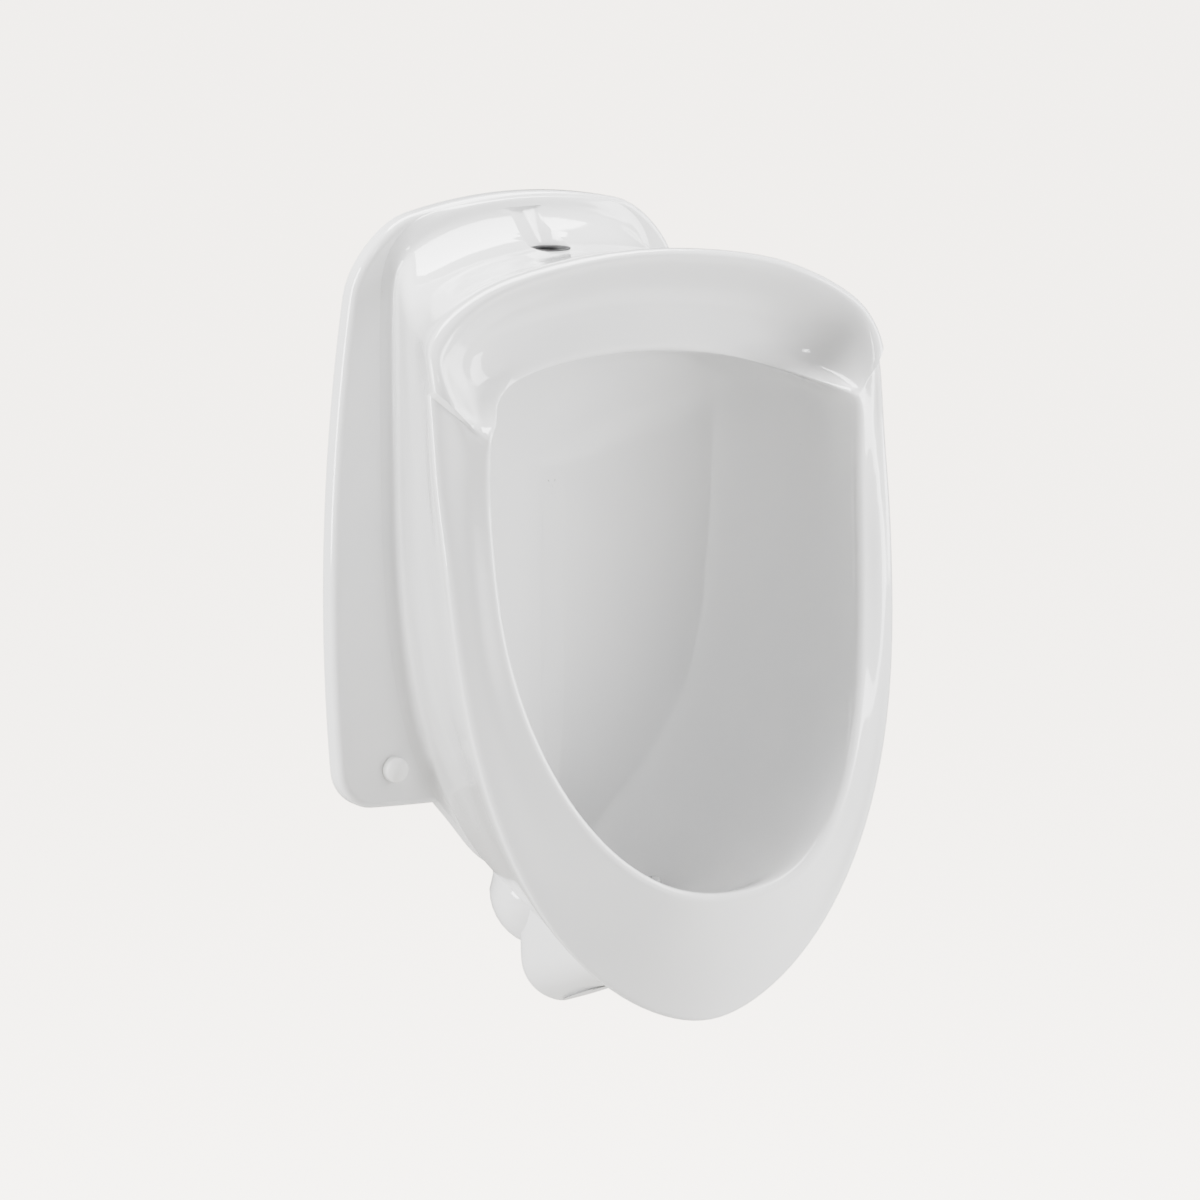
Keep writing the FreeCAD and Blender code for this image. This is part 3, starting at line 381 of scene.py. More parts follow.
def make_skin():
    """The china's skin, from its edge on the wall over the rim into the bowl."""
    root, outer, inner, bowl = root_ring(), outer_ring(), inner_ring(), bowl_ring()
    edge, lip = RIM_EDGE_ROUND, RIDGE_ROUND
    face = outer.towards(inner, 0.5).grown(out=RIM_SWELL, top_out=-COVE_DEPTH - RIM_SWELL)
    rings = [
        root.points(flare=FILLET_AT_THE_PLATE),
        *(root.grown(out=PLATE_DEPTH + out).points(flare=FILLET_AT_THE_PLATE * share)
          for out, share in FILLET_SECTION),
        *(root.towards(outer, way).grown(out=out, top_up=-TROUGH_DEPTH * share).points()
          for way, out, share in WAIST),
        outer.grown(out=-edge).points(),
        outer.grown(by=-edge * 0.3, out=-edge * 0.3).points(),
        outer.grown(by=-edge).points(),
        face.points(),
        inner.grown(by=lip, out=-lip * 0.1).points(),
        inner.points(),
        inner.grown(by=-lip * 0.8, out=-lip).points(),
        inner.towards(bowl, 0.45).grown(by=3).points(),
        bowl.points(),
        *(back_ring(turn).points() for turn in BOWL_BACK_TURNS),
    ]
    return undercut_the_hood(rounded("china_body_skin", softened(rings)))


def rounded(name, rings):
    """A skin through the rings, subdivided so that it runs smoothly between them."""
    piece = extruded_through(name, rings)
    for width in (4, 30):
        pick(piece, is_an_end, "FACE")
        bpy.ops.mesh.inset(thickness=width * MM, depth=0, use_even_offset=False)
    pick(piece, is_an_end, "FACE")
    turn_outwards()
    put_down(piece)
    finish_with(piece, "SUBSURF", levels=2, render_levels=2)
    return piece


def is_an_end(face):
    """The end faces have many corners. Insets around them keep them flat under subdivision."""
    return len(face.verts) > 4


def undercut_the_hood(skin):
    """Sets the rim's face back under each end of the hood, so that the hood's end stands over it."""
    take_up(skin)
    bpy.ops.object.mode_set(mode="EDIT")
    for side in (-1, 1):
        outer_end, inner_end = (Vector((side * x, y, z))
                                for x, y, z in (HOOD_OUTER_END, HOOD_INNER_END))
        along = (inner_end - outer_end).normalized()
        across = along.cross(Vector((0, side, 0))).normalized()
        for drop in HOOD_CUTS:
            pick(skin, lambda face: near_the_hoods_end(face, side), "FACE")
            bpy.ops.mesh.bisect(plane_co=(outer_end + across * drop) * MM, plane_no=across)
        mesh = bmesh.from_edit_mesh(skin.data)
        for vertex in mesh.verts:
            point = vertex.co / MM
            drop = (point - outer_end).dot(across)
            sideways = smooth_share((side * point.x - UNDERCUT_INSIDE) / UNDERCUT_WIDTH)
            back = smooth_share((-point.y - UNDERCUT_REACH) / UNDERCUT_DEPTH)
            sharp = smooth_share(drop / HOOD_EDGE) * (1 - smooth_share(drop / HOOD_UNDERCUT_FADE))
            vertex.co.y += HOOD_UNDERCUT * sideways * back * sharp * MM
        bmesh.update_edit_mesh(skin.data)
    return put_down(skin)


def near_the_hoods_end(face, side):
    centre = face.calc_center_median()
    return (side * centre.x > HOOD_END_INSIDE * MM and centre.y < HOOD_END_BACK * MM
            and HOOD_END_FOOT * MM < centre.z < HOOD_END_TOP * MM)


def smooth_share(share):
    share = min(max(share, 0), 1)
    return share * share * (3 - 2 * share)


def make_plate():
    """The plate against the wall: a quad with rounded corners, bowed sides and a rounded front."""
    deselect_all()
    bpy.ops.mesh.primitive_plane_add(size=1)
    plate = begin("china_plate")
    mesh = bmesh.from_edit_mesh(plate.data)
    for vertex in mesh.verts:
        upper = vertex.co.y > 0
        x = PLATE_SHOULDER_HALF_WIDTH if upper else PLATE_FOOT_HALF_WIDTH
        z = PLATE_SHOULDER if upper else PLATE_FOOT
        vertex.co = Vector((math.copysign(x, vertex.co.x), 0, z)) * MM
    bmesh.update_edit_mesh(plate.data)
    for upper, radius in ((True, PLATE_SHOULDER_ROUND), (False, PLATE_FOOT_ROUND)):
        pick(plate, lambda v: (v.co.z > 0) == upper and v.co.y == 0 and abs(v.co.x) > 0.1)
        bpy.ops.mesh.bevel(affect="VERTICES", offset=radius * MM, segments=10, offset_type="OFFSET")
    pick(plate, lambda edge: edge.calc_length() > 0.06, "EDGE")
    bpy.ops.mesh.subdivide(number_cuts=20)
    bow_the_plate(plate)
    bpy.ops.mesh.select_mode(type="FACE")
    bpy.ops.mesh.select_all(action="SELECT")
    push(y=-PLATE_DEPTH)
    front = -PLATE_DEPTH * MM
    pick(plate, lambda edge: all(abs(v.co.y - front) < 1e-6 for v in edge.verts), "EDGE")
    bpy.ops.mesh.bevel(affect="EDGES", offset=PLATE_FRONT_ROUND * MM, segments=5, profile=0.5)
    turn_outwards()
    return put_down(plate)


def bow_the_plate(plate):
    """Bows the flat outline's sides outwards, its head up and its foot down."""
    mesh = bmesh.from_edit_mesh(plate.data)
    middle, half = (PLATE_FOOT + PLATE_SHOULDER) / 2, (PLATE_SHOULDER - PLATE_FOOT) / 2
    for vertex in mesh.verts:
        x, z = vertex.co.x / MM, vertex.co.z / MM
        wide = PLATE_FOOT_HALF_WIDTH + (PLATE_SHOULDER_HALF_WIDTH - PLATE_FOOT_HALF_WIDTH) \
            * (z - PLATE_FOOT) / (2 * half)
        bow_out = PLATE_SIDE_BOW * (1 - ((z - middle) / half) ** 2)
        bow_up = PLATE_CROWN if z > middle else -PLATE_FOOT_BOW
        share = min(abs(z - middle) / half, 1) ** 4
        vertex.co.x += bow_out * x / wide * MM
        vertex.co.z += bow_up * share * (1 - (x / wide) ** 2) * MM
    bmesh.update_edit_mesh(plate.data)


def make_trap():
    """The china around the U bend: a rounded lump, long from front to back, with a slight waist."""
    rings = []
    for drop, radius in TRAP_SECTION:
        ring = []
        for step in range(TRAP_SIDES):
            turn = 2 * math.pi * step / TRAP_SIDES
            forward = min(max(math.sin(turn) * 3, -1), 1) * TRAP_BEND
            y = -TRAP_REACH - forward - radius * math.sin(turn)
            foot = TRAP_REAR_FOOT + (TRAP_FRONT_FOOT - TRAP_REAR_FOOT) * (forward / TRAP_BEND + 1) / 2
            waist = 1 - TRAP_WAIST * (1 - abs(forward) / TRAP_BEND)
            ring.append(Vector((radius * math.cos(turn) * waist, y, foot - drop)))
        rings.append(ring)
    return rounded("china_trap", rings)


def make_elbow():
    """The rising leg: out of the wall, round a quarter turn and down to a rounded heel."""
    turn_at = Vector((0, -HEEL_REACH + ELBOW_BEND, OUTLET_HEIGHT - ELBOW_BEND))
    heel = Vector((0, -HEEL_REACH, HEEL_HEIGHT))
    deselect_all()
    bpy.ops.mesh.primitive_circle_add(vertices=64, radius=OUTLET_BOSS * MM, fill_type="NGON",
                                      location=(0, 0, OUTLET_HEIGHT * MM),
                                      rotation=(math.pi / 2, 0, 0))
    elbow = put_down(begin("china_elbow"))
    bpy.ops.object.mode_set(mode="EDIT")
    bpy.ops.mesh.select_all(action="SELECT")
    push(y=turn_at.y)
    bpy.ops.mesh.spin(steps=14, angle=math.radians(-90), center=turn_at * MM, axis=(1, 0, 0))
    push(z=heel.z - turn_at.z)
    widen(HEEL_RADIUS / OUTLET_BOSS, heel)
    turns = [math.radians(9 * step) for step in range(10)]
    for before, turn in zip(turns, turns[1:]):
        push(z=-HEEL_RADIUS * (math.sin(turn) - math.sin(before)))
        widen(math.cos(turn) / math.cos(before), heel)
    turn_outwards()
    return put_down(elbow)


def widen(scale, centre):
    """Scales the selected ring across, about a point's upright line."""
    bpy.ops.transform.resize(value=(scale, scale, 1), center_override=centre * MM)


def round_tool(name, start, along, profile, sides=48):
    """A turned cutter: rings of (distance along, radius) from a point."""
    side = Vector((1, 0, 0))
    other = along.cross(side)
    turns = [2 * math.pi * step / sides for step in range(sides)]
    rings = [[Vector(start) + along * distance
              + radius * (side * math.cos(turn) + other * math.sin(turn)) for turn in turns]
             for distance, radius in profile]
    tool = extruded_through(name, rings)
    turn_outwards()
    return put_down(tool)


def box_tool(name, low, high):
    """A box cutter between two opposite corners."""
    deselect_all()
    bpy.ops.mesh.primitive_cube_add(size=1)
    box = begin(name)
    bpy.ops.transform.resize(value=[(b - a) * MM for a, b in zip(low, high)])
    bpy.ops.transform.translate(value=[(a + b) / 2 * MM for a, b in zip(low, high)])
    return put_down(box)


def make_openings():
    """The cutters for every hole and pocket, each a little longer than the china is thick."""
    mouth = INLET_MOUTH - INLET_FLOOR
    socket = WALL_OVERRUN + OUTLET_SOCKET_DEPTH
    sliver = 0.001
    tools = [
        round_tool("inlet_drill", (0, -INLET_REACH, INLET_FLOOR), UP, [
            (0, INLET_BORE), (mouth - 2, INLET_BORE), (mouth + 0.5, INLET_BORE + 0.7),
            (mouth + 3, INLET_BORE + 2.4), (mouth + 30, INLET_BORE + 30)]),
        round_tool("drain_drill", (0, -DRAIN_REACH, STRAINER_SEAT - DRAIN_LENGTH), UP, [
            (0, TRAP_BORE), (DRAIN_LENGTH - 2, TRAP_BORE), (DRAIN_LENGTH, TRAP_BORE + 1.5),
            (DRAIN_LENGTH + sliver, STRAINER_RECESS),
            (DRAIN_LENGTH + STRAINER_CLEARANCE, STRAINER_RECESS)]),
        round_tool("outlet_drill", (0, WALL_OVERRUN, OUTLET_HEIGHT), OUT_OF_THE_WALL, [
            (0, OUTLET_SOCKET), (socket, OUTLET_SOCKET),
            (socket + sliver, TRAP_BORE), (OUTLET_DRILL_LENGTH, TRAP_BORE)]),
    ]
    for place in range(WASH_HOLES):
        x = WASH_HOLE_PITCH * (place - (WASH_HOLES - 1) / 2)
        tools.append(round_tool("wash_drill", (x, -WASH_HOLE_REACH, WASH_HOLE_FOOT), UP,
                                [(0, WASH_HOLE_RADIUS), (WASH_HOLE_LENGTH, WASH_HOLE_RADIUS)],
                                sides=16))
    for side in (-1, 1):
        tools.append(round_tool("fixing_drill", (side * FIXING_SPACING, 2, FIXING_HEIGHT),
                                OUT_OF_THE_WALL, [(0, FIXING_BORE), (PLATE_DEPTH + 6, FIXING_BORE)],
                                sides=24))
        left, right = (side * HANGER_SPACING + half for half in (-POCKET_WIDTH / 2, POCKET_WIDTH / 2))
        tools.append(box_tool("hanger_pocket", (left, -POCKET_DEPTH, HANGER_LEDGE - POCKET_HEIGHT),
                              (right, 1, HANGER_LEDGE)))
        tools.append(box_tool("hanger_pocket", (left, -POCKET_DEPTH, HANGER_LEDGE - POCKET_LIP_DROP),
                              (right, -POCKET_LIP, HANGER_LEDGE + POCKET_LIP_RISE)))
    return tools


def make_inlet_seal():
    """The rubber sleeve in the flush hole: a flange inside the chamber, three ribs, a rolled top."""
    profile = [(257, 20), (257, 16.45), (278, 16.45), (279.4, 16.9), (280.8, 16.9), (281.6, 16.2),
               (281.6, 14.6), (280.4, 13.5), (278.4, 12.9)]
    for rib in INLET_SEAL_RIBS:
        profile += [(rib + 1.2, 13.6), (rib + 0.4, 12.75), (rib - 0.4, 12.75), (rib - 1.2, 13.6)]
    profile += [(254.6, 13.6), (254, 14.2), (254, 19.3), (254.7, 20)]
    return turned_ring("inlet_sleeve", (0, -INLET_REACH, 0), UP, profile, "inlet_seal")


def make_outlet_seal():
    """The rubber collar in the outlet: ribs that grip the waste pipe and a soft inner lip."""
    profile = [(0.4, 32.9), (0, 32.3), (0, 26.4), (0.8, 25.6)]
    for rib in OUTLET_SEAL_RIBS:
        profile += [(rib - 1.3, 25.9), (rib - 0.4, 25.05), (rib + 0.4, 25.05), (rib + 1.3, 25.9)]
    profile += [(22.6, 25.9), (23.2, 25.2), (23.4, 23.4), (24.2, 23), (25.4, 23), (26, 23.6),
                (26, 32.3), (25.5, 32.9)]
    return turned_ring("outlet_collar", (0, 0, OUTLET_HEIGHT), OUT_OF_THE_WALL, profile,
                       "outlet_seal")


def turned_ring(name, centre, along, profile, node, sides=72):
    """A closed section of (distance along, radius) points, spun round an axis."""
    centre = Vector(centre)
    section = [centre + along * distance + Vector((radius, 0, 0)) for distance, radius in profile]
    piece = begin_ring(name, section, fill="NOTHING")
    bmesh.update_edit_mesh(piece.data)
    bpy.ops.mesh.select_all(action="SELECT")
    bpy.ops.mesh.spin(steps=sides, angle=2 * math.pi, center=centre * MM, axis=along,
                      use_auto_merge=True)
    bpy.ops.mesh.select_all(action="SELECT")
    bpy.ops.mesh.remove_doubles(threshold=0.00001)
    turn_outwards()
    put_down(piece)
    bpy.ops.object.shade_smooth_by_angle(angle=math.radians(50))
    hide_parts(node)
    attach(piece, "urinal")
    return piece


def make_china():
    china = make_skin()
    for piece in (make_plate(), make_trap(), make_elbow()):
        combine(china, piece, "UNION")
    for tool in make_openings():
        combine(china, tool, "DIFFERENCE")
    china.name = china.data.name = "glazed_china"
    take_up(china)
    bpy.ops.object.shade_smooth_by_angle(angle=math.radians(38))
    finish_with(china, "WEIGHTED_NORMAL", keep_sharp=True, weight=70)
    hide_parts("china_body")
    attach(china, "urinal")
    return china


# ---------------------------------------------------------------- finishes


def new_effect(name, inputs, outputs):
    """An empty shader node group with named sockets, and its two ends."""
    group = bpy.data.node_groups.new(name, "ShaderNodeTree")
    kinds = {"value": "NodeSocketFloat", "vector": "NodeSocketVector"}
    for socket, kind, default in inputs:
        made = group.interface.new_socket(name=socket, in_out="INPUT", socket_type=kinds[kind])
        if default is not None:
            made.default_value = default
    for socket, kind in outputs:
        group.interface.new_socket(name=socket, in_out="OUTPUT", socket_type=kinds[kind])
    return group, group.nodes.new("NodeGroupInput"), group.nodes.new("NodeGroupOutput")


def set_range(node, end, low, high):
    """Sets a Map Range node's From or To values."""
    node.inputs[end + " Min"].default_value = low
    node.inputs[end + " Max"].default_value = high


def make_cloud_effect():
    """Soft clouds between two values, as glaze, rubber and plating vary over a piece."""
    group, given, result = new_effect(
        "clouds", (("Place", "vector", None), ("Scale", "value", 8.0), ("Detail", "value", 3.0),
                   ("Low", "value", 0.0), ("High", "value", 1.0)), (("Value", "value"),))
    noise = group.nodes.new("ShaderNodeTexNoise")
    spread = group.nodes.new("ShaderNodeMapRange")
    set_range(spread, "From", 0.3, 0.7)
    link = group.links.new
    link(given.outputs["Place"], noise.inputs["Vector"])
    link(given.outputs["Scale"], noise.inputs["Scale"])
    link(given.outputs["Detail"], noise.inputs["Detail"])
    link(noise.outputs["Fac"], spread.inputs["Value"])
    link(given.outputs["Low"], spread.inputs["To Min"])
    link(given.outputs["High"], spread.inputs["To Max"])
    link(spread.outputs["Result"], result.inputs["Value"])


def make_speck_effect():
    """Small round spots, scattered: pinholes and iron specks in a glaze, bubbles and dust."""
    group, given, result = new_effect(
        "specks", (("Place", "vector", None), ("Scale", "value", 200.0), ("Size", "value", 0.12)),
        (("Mask", "value"),))
    cells = group.nodes.new("ShaderNodeTexVoronoi")
    spot_edge = group.nodes.new("ShaderNodeMapRange")
    spot_edge.interpolation_type = "SMOOTHSTEP"
    set_range(spot_edge, "To", 1, 0)
    few = group.nodes.new("ShaderNodeMath")
    few.operation, few.inputs[1].default_value = "GREATER_THAN", 0.8
    both = group.nodes.new("ShaderNodeMath")
    both.operation = "MULTIPLY"
    split = group.nodes.new("ShaderNodeSeparateColor")
    link = group.links.new
    link(given.outputs["Place"], cells.inputs["Vector"])
    link(given.outputs["Scale"], cells.inputs["Scale"])
    link(cells.outputs["Distance"], spot_edge.inputs["Value"])
    link(given.outputs["Size"], spot_edge.inputs["From Max"])
    link(cells.outputs["Color"], split.inputs["Color"])
    link(split.outputs["Red"], few.inputs[0])
    link(spot_edge.outputs["Result"], both.inputs[0])
    link(few.outputs[0], both.inputs[1])
    link(both.outputs[0], result.inputs["Mask"])


def make_brushing_effect():
    """Fine lines drawn out along one way: brushing, drawing marks and scratches."""
    group, given, result = new_effect(
        "brushing", (("Place", "vector", None), ("Stretch", "vector", (1.0, 1.0, 1.0)),
                     ("Scale", "value", 300.0)), (("Mask", "value"),))
    drawn = group.nodes.new("ShaderNodeVectorMath")
    drawn.operation = "MULTIPLY"
    noise = group.nodes.new("ShaderNodeTexNoise")
    noise.inputs["Detail"].default_value = 4
    sharpen = group.nodes.new("ShaderNodeMapRange")
    set_range(sharpen, "From", 0.38, 0.62)
    link = group.links.new
    link(given.outputs["Place"], drawn.inputs[0])
    link(given.outputs["Stretch"], drawn.inputs[1])
    link(drawn.outputs["Vector"], noise.inputs["Vector"])
    link(given.outputs["Scale"], noise.inputs["Scale"])
    link(noise.outputs["Fac"], sharpen.inputs["Value"])
    link(sharpen.outputs["Result"], result.inputs["Mask"])


class Finish:
    """A material in the making: its shader, its Object coordinates and the effects placed in it."""

    def __init__(self, name, **constants):
        self.material = bpy.data.materials.new(name)
        self.material.use_nodes = True
        self.nodes, self.link = self.material.node_tree.nodes, self.material.node_tree.links.new
        self.shader = self.nodes["Principled BSDF"]
        for socket, value in constants.items():
            self.shader.inputs[socket.replace("_", " ")].default_value = value
        self.place = self.nodes.new("ShaderNodeTexCoord").outputs["Object"]

    def effect(self, name, **values):
        """Places a group, sets its inputs and gives its output."""
        node = self.nodes.new("ShaderNodeGroup")
        node.node_tree = bpy.data.node_groups[name]
        self.link(self.place, node.inputs["Place"])
        for socket, value in values.items():
            node.inputs[socket].default_value = value
        return node.outputs[0]

    def centred(self, x, y, z):
        """Moves the pattern's centre to a point of the object."""
        mapping = self.nodes.new("ShaderNodeMapping")
        mapping.vector_type = "TEXTURE"
        mapping.inputs["Location"].default_value = (x, y, z)
        self.link(self.place, mapping.inputs["Vector"])
        self.place = mapping.outputs["Vector"]

    def sum(self, *parts):
        """Adds (mask, weight) pairs into one height."""
        total = None
        for mask, weight in parts:
            step = self.nodes.new("ShaderNodeMath")
            step.operation = "MULTIPLY_ADD"
            step.inputs[1].default_value = weight
            self.link(mask, step.inputs[0])
            if total:
                self.link(total, step.inputs[2])
            else:
                step.inputs[2].default_value = 0
            total = step.outputs[0]
        return total

    def mix(self, mask, first, second):
        """A colour that goes from one to the other with a mask; either may be a socket."""
        mixer = self.nodes.new("ShaderNodeMix")
        mixer.data_type = "RGBA"
        self.link(mask, mixer.inputs["Factor"])
        for socket, colour in ((mixer.inputs[6], first), (mixer.inputs[7], second)):
            if isinstance(colour, tuple):
                socket.default_value = (*colour, 1)
            else:
                self.link(colour, socket)
        return mixer.outputs[2]

    def colour(self, socket):
        self.link(socket, self.shader.inputs["Base Color"])

    def roughness(self, socket):
        self.link(socket, self.shader.inputs["Roughness"])

    def relief(self, height, depth):
        """Bumps the surface by a height, in metres of depth."""
        bump = self.nodes.new("ShaderNodeBump")
        bump.inputs["Strength"].default_value = 1
        bump.inputs["Distance"].default_value = depth
        self.link(height, bump.inputs["Height"])
        self.link(bump.outputs["Normal"], self.shader.inputs["Normal"])

    def behind(self, y):
        """A mask of what lies further into the wall than a plane."""
        split = self.nodes.new("ShaderNodeSeparateXYZ")
        self.link(self.place, split.inputs[0])
        mask = self.nodes.new("ShaderNodeMath")
        mask.operation, mask.inputs[1].default_value = "GREATER_THAN", y
        self.link(split.outputs["Y"], mask.inputs[0])
        return mask.outputs[0]


def glaze_finish():
    """White vitreous glaze, a little wavy and pinholed, over biscuit that is bare at the wall."""
    finish = Finish("white_glaze", IOR=1.52, Coat_Weight=0.5, Coat_Roughness=0.03)
    pools = finish.effect("clouds", Scale=5.0, Detail=2.0)
    tone = finish.effect("clouds", Scale=26.0, Detail=4.0)
    pinholes = finish.effect("specks", Scale=170.0, Size=0.09)
    iron = finish.effect("specks", Scale=61.0, Size=0.035)
    white = finish.mix(pools, (0.7, 0.705, 0.71), (0.74, 0.74, 0.74))
    white = finish.mix(finish.sum((tone, 0.35)), white, (0.75, 0.745, 0.735))
    white = finish.mix(finish.sum((pinholes, 0.25)), white, (0.55, 0.53, 0.5))
    white = finish.mix(finish.sum((iron, 0.7)), white, (0.36, 0.3, 0.24))
    bare = finish.behind(-0.0004)
    grog = finish.effect("clouds", Scale=90.0, Detail=5.0)
    biscuit = finish.mix(grog, (0.66, 0.62, 0.55), (0.76, 0.73, 0.66))
    finish.colour(finish.mix(bare, white, biscuit))
    gloss = finish.effect("clouds", Scale=18.0, Detail=3.0, Low=0.05, High=0.12)
    finish.roughness(finish.sum((bare, 0.6), (gloss, 1.0), (pinholes, 0.2)))
    waves = finish.effect("clouds", Scale=9.0, Detail=1.0)
    peel = finish.effect("clouds", Scale=120.0, Detail=2.0)
    finish.relief(finish.sum((waves, 1.0), (peel, 0.035), (pinholes, -0.1)), 0.0009)
    return finish.material


def rubber_finish():
    """Matt black moulded rubber with a pale bloom and a fine grain."""
    finish = Finish("moulded_rubber", Specular_IOR_Level=0.35)
    bloom = finish.effect("clouds", Scale=60.0, Detail=5.0)
    dust = finish.effect("specks", Scale=500.0, Size=0.25)
    black = finish.mix(bloom, (0.012, 0.012, 0.013), (0.03, 0.03, 0.031))
    finish.colour(finish.mix(finish.sum((dust, 0.5)), black, (0.11, 0.108, 0.1)))
    finish.roughness(finish.effect("clouds", Scale=90.0, Detail=4.0, Low=0.5, High=0.78))
    grain = finish.effect("clouds", Scale=900.0, Detail=3.0)
    finish.relief(finish.sum((grain, 1.0), (bloom, 0.6)), 0.00008)
    return finish.material


def strainer_finish():
    """Stainless sheet, brushed across and spotted by water."""
    finish = Finish("brushed_stainless", Metallic=1.0)
    finish.centred(0, -DRAIN_REACH * MM, STRAINER_SEAT * MM)
    lines = finish.effect("brushing", Stretch=(0.05, 1.0, 1.0), Scale=900.0)
    marks = finish.effect("clouds", Scale=70.0, Detail=4.0)
    spots = finish.effect("specks", Scale=260.0, Size=0.3)
    base = finish.effect("clouds", Scale=5.0, Low=0.16, High=0.2)
    steel = finish.mix(lines, (0.5, 0.5, 0.49), (0.66, 0.66, 0.65))
    finish.colour(finish.mix(finish.sum((spots, 0.3), (marks, 0.12)), steel, (0.4, 0.38, 0.34)))
    finish.roughness(finish.sum((lines, 0.12), (marks, 0.14), (spots, 0.1), (base, 1.0)))
    finish.relief(lines, 0.00002)
    return finish.material


def galvanised_finish():
    """Hot dip zinc with its spangles and dull white patches."""
    finish = Finish("galvanised_steel", Metallic=1.0)
    spangle = finish.nodes.new("ShaderNodeTexVoronoi")
    spangle.inputs["Scale"].default_value = 210
    finish.link(finish.place, spangle.inputs["Vector"])
    flake = finish.nodes.new("ShaderNodeSeparateColor")
    finish.link(spangle.outputs["Color"], flake.inputs["Color"])
    patches = finish.effect("clouds", Scale=45.0, Detail=5.0)
    base = finish.effect("clouds", Low=0.22, High=0.26)
    zinc = finish.mix(flake.outputs["Red"], (0.4, 0.42, 0.44), (0.6, 0.62, 0.64))
    finish.colour(finish.mix(finish.sum((patches, 0.4)), zinc, (0.66, 0.67, 0.66)))
    finish.roughness(finish.sum((flake.outputs["Green"], 0.16), (patches, 0.3), (base, 1.0)))
    finish.relief(finish.sum((flake.outputs["Blue"], 0.3), (patches, 1.0)), 0.00006)
    return finish.material


def zinc_finish():
    """Bright zinc plate on turned and rolled steel."""
    finish = Finish("bright_zinc", Metallic=1.0)
    turning = finish.effect("brushing", Stretch=(0.12, 1.0, 0.12), Scale=1400.0)
    tint = finish.effect("clouds", Scale=130.0, Detail=3.0)
    base = finish.effect("clouds", Scale=80.0, Low=0.22, High=0.36)
    steel = finish.mix(tint, (0.56, 0.57, 0.6), (0.66, 0.65, 0.6))
    finish.colour(finish.mix(finish.sum((turning, 0.3)), steel, (0.44, 0.45, 0.48)))
    finish.roughness(finish.sum((turning, 0.12), (base, 1.0)))
    finish.relief(turning, 0.00002)
    return finish.material


def nylon_finish():
    """Natural moulded nylon, milky, with a fine sparked grain."""
    finish = Finish("natural_nylon", Subsurface_Weight=0.15, Subsurface_Scale=0.002)
    milk = finish.effect("clouds", Scale=110.0, Detail=3.0)
    finish.colour(finish.mix(milk, (0.72, 0.71, 0.66), (0.8, 0.79, 0.74)))
    finish.roughness(finish.effect("clouds", Scale=160.0, Detail=3.0, Low=0.38, High=0.56))
    finish.relief(finish.effect("clouds", Scale=1500.0, Detail=2.0), 0.00004)
    return finish.material


def cap_finish():
    """White gloss moulded plastic with faint flow marks."""
    finish = Finish("cap_plastic", IOR=1.5)
    flow = finish.effect("brushing", Stretch=(1.0, 0.3, 0.25), Scale=90.0)
    milk = finish.effect("clouds", Scale=60.0, Detail=3.0)
    white = finish.mix(milk, (0.84, 0.84, 0.83), (0.88, 0.88, 0.865))
    finish.colour(finish.mix(finish.sum((flow, 0.2)), white, (0.8, 0.8, 0.78)))
    finish.roughness(finish.effect("clouds", Scale=70.0, Detail=3.0, Low=0.16, High=0.27))
    finish.relief(finish.sum((flow, 0.4), (milk, 1.0)), 0.00008)
    return finish.material


def bright_to_the_eye(tree, strength, unseen, seen):
    """Lets a surface look paper white without lighting the china as strongly as that."""
    path = tree.nodes.new("ShaderNodeLightPath")
    share = tree.nodes.new("ShaderNodeMapRange")
    set_range(share, "To", unseen, seen)
    tree.links.new(path.outputs["Is Camera Ray"], share.inputs["Value"])
    tree.links.new(share.outputs["Result"], strength)


def paper_material():
    paper = bpy.data.materials.new("pale_paper")
    paper.use_nodes = True
    shader = paper.node_tree.nodes["Principled BSDF"]
    shader.inputs["Base Color"].default_value = (0.4, 0.395, 0.38, 1)
    shader.inputs["Roughness"].default_value = 0.95
    shader.inputs["Emission Color"].default_value = PAPER_WHITE
    bright_to_the_eye(paper.node_tree, shader.inputs["Emission Strength"], *FLOOR_GLOW)
    return paper


def dress(piece, material):
    piece.data.materials.clear()
    piece.data.materials.append(material)


# ---------------------------------------------------------------- studio


def make_stage():
    deselect_all()
    bpy.ops.mesh.primitive_plane_add(size=FLOOR_SIZE, location=(0, 0, FLOOR_HEIGHT))
    floor = put_down(begin("studio_floor"))
    dress(floor, paper_material())


def make_light(name, place, aim, size, power):
    deselect_all()
    bpy.ops.object.light_add(type="AREA", location=place)
    light = bpy.context.object
    light.name = name
    light.data.shape = "RECTANGLE"
    light.data.size, light.data.size_y = size
    light.data.energy = power
    light.rotation_euler = (Vector(aim) - Vector(place)).to_track_quat("-Z", "Y").to_euler()
    return light


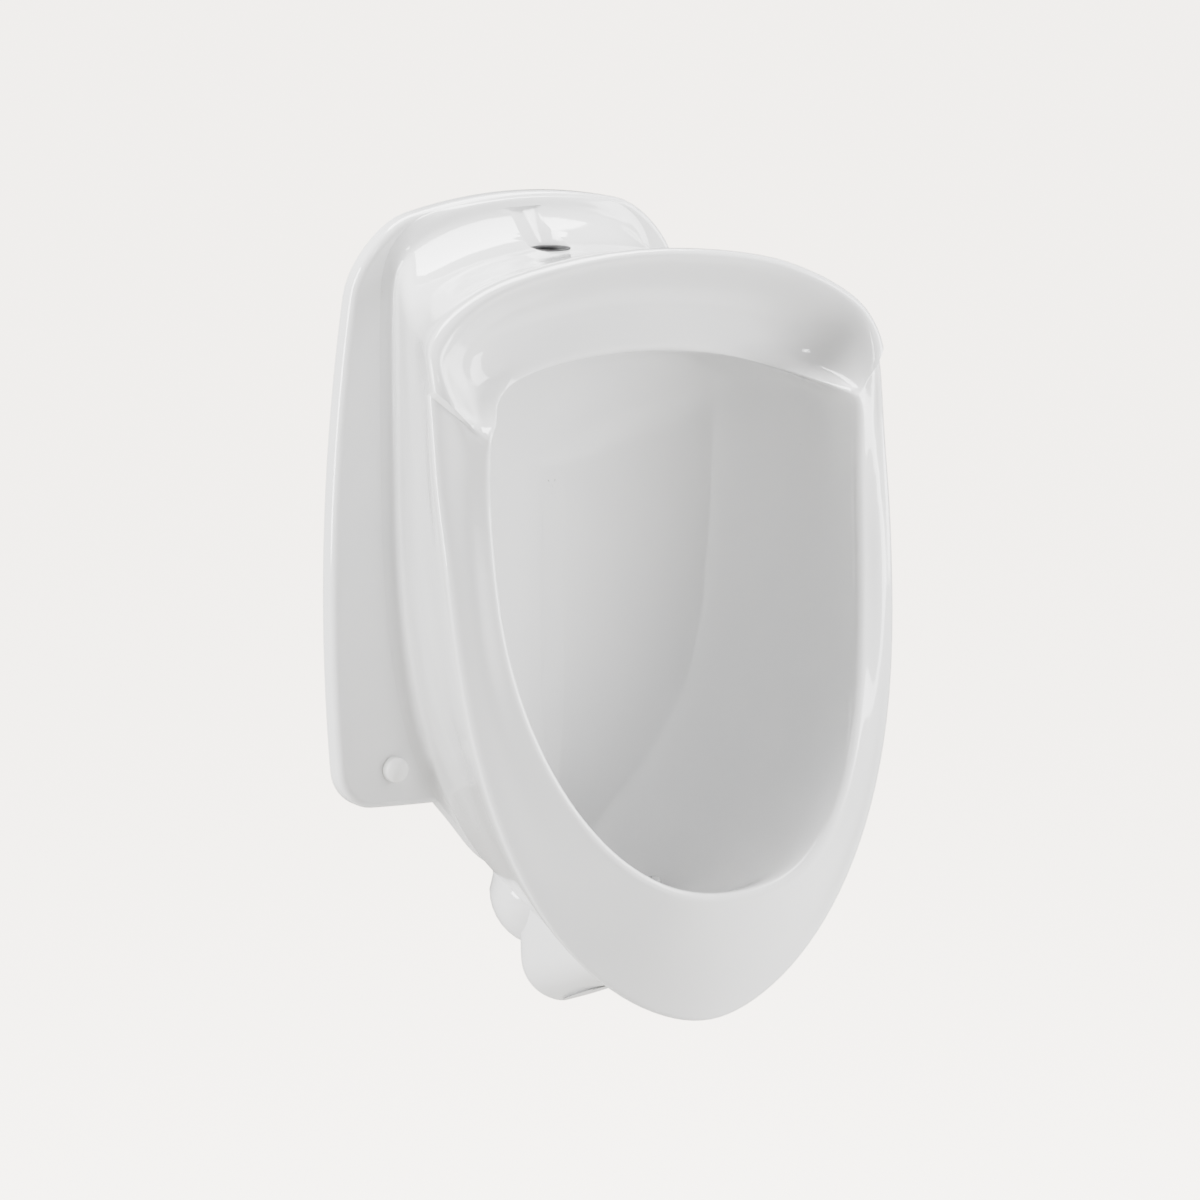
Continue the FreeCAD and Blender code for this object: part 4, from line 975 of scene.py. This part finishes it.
def make_lights():
    """Three softboxes, a key that leaves no reflection and a small window that only reflects."""
    make_light("top_softbox", place=(0.3, 0.4, 2.0), aim=(0, -0.15, 0.1), size=(2.0, 1.2), power=190)
    make_light("left_softbox", place=(-2.0, 0.3, 0.65), aim=(0, -0.1, 0), size=(0.8, 2.0), power=175)
    make_light("right_softbox", place=(2.1, -0.8, 0.7), aim=(0, -0.2, 0), size=(1.0, 2.0), power=75)
    key = make_light("key_softbox", place=(1.3, -2.4, 0.3), aim=(0, -0.15, 0), size=(1.7, 1.5),
                     power=160)
    key.visible_glossy = False
    glint = make_light("window_glint", place=(-1.5, -2.2, 2.6), aim=(-0.1, -0.25, 0.25),
                       size=(0.35, 0.5), power=14)
    glint.visible_diffuse = False


def make_air():
    """A pale world around the floor."""
    air = bpy.data.worlds.new("studio_air")
    bpy.context.scene.world = air
    air.use_nodes = True
    background = air.node_tree.nodes["Background"]
    background.inputs["Color"].default_value = PAPER_WHITE
    bright_to_the_eye(air.node_tree, background.inputs["Strength"], *AIR_GLOW)


def make_camera():
    """The photograph's view, fitted to the outline."""
    azimuth, elevation = math.radians(CAMERA_AZIMUTH), math.radians(CAMERA_ELEVATION)
    target = Vector(CAMERA_TARGET)
    back = Vector((math.sin(azimuth) * math.cos(elevation), -math.cos(azimuth) * math.cos(elevation),
                   math.sin(elevation)))
    deselect_all()
    bpy.ops.object.camera_add(location=target + back * CAMERA_DISTANCE,
                              rotation=(-back).to_track_quat("-Z", "Y").to_euler())
    camera = bpy.context.object
    camera.name = "photo_camera"
    camera.data.lens = CAMERA_LENS
    camera.data.sensor_width = 36
    bpy.context.scene.camera = camera


make_cloud_effect()
make_speck_effect()
make_brushing_effect()

dress(make_china(), glaze_finish())
rubber = rubber_finish()
for seal in (make_inlet_seal(), make_outlet_seal()):
    dress(seal, rubber)
for finish, nodes in (
    (strainer_finish(), ("strainer",)),
    (galvanised_finish(), ("hanger_left", "hanger_right")),
    (zinc_finish(), ("hanger_screws", "hanger_washers", "fixing_washers", "fixing_screws")),
    (nylon_finish(), ("fixing_sleeves", "cap_bases")),
    (cap_finish(), ("bolt_cap_left", "bolt_cap_right")),
):
    for node in nodes:
        dress(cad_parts[node], finish)

make_stage()
make_lights()
make_air()
make_camera()
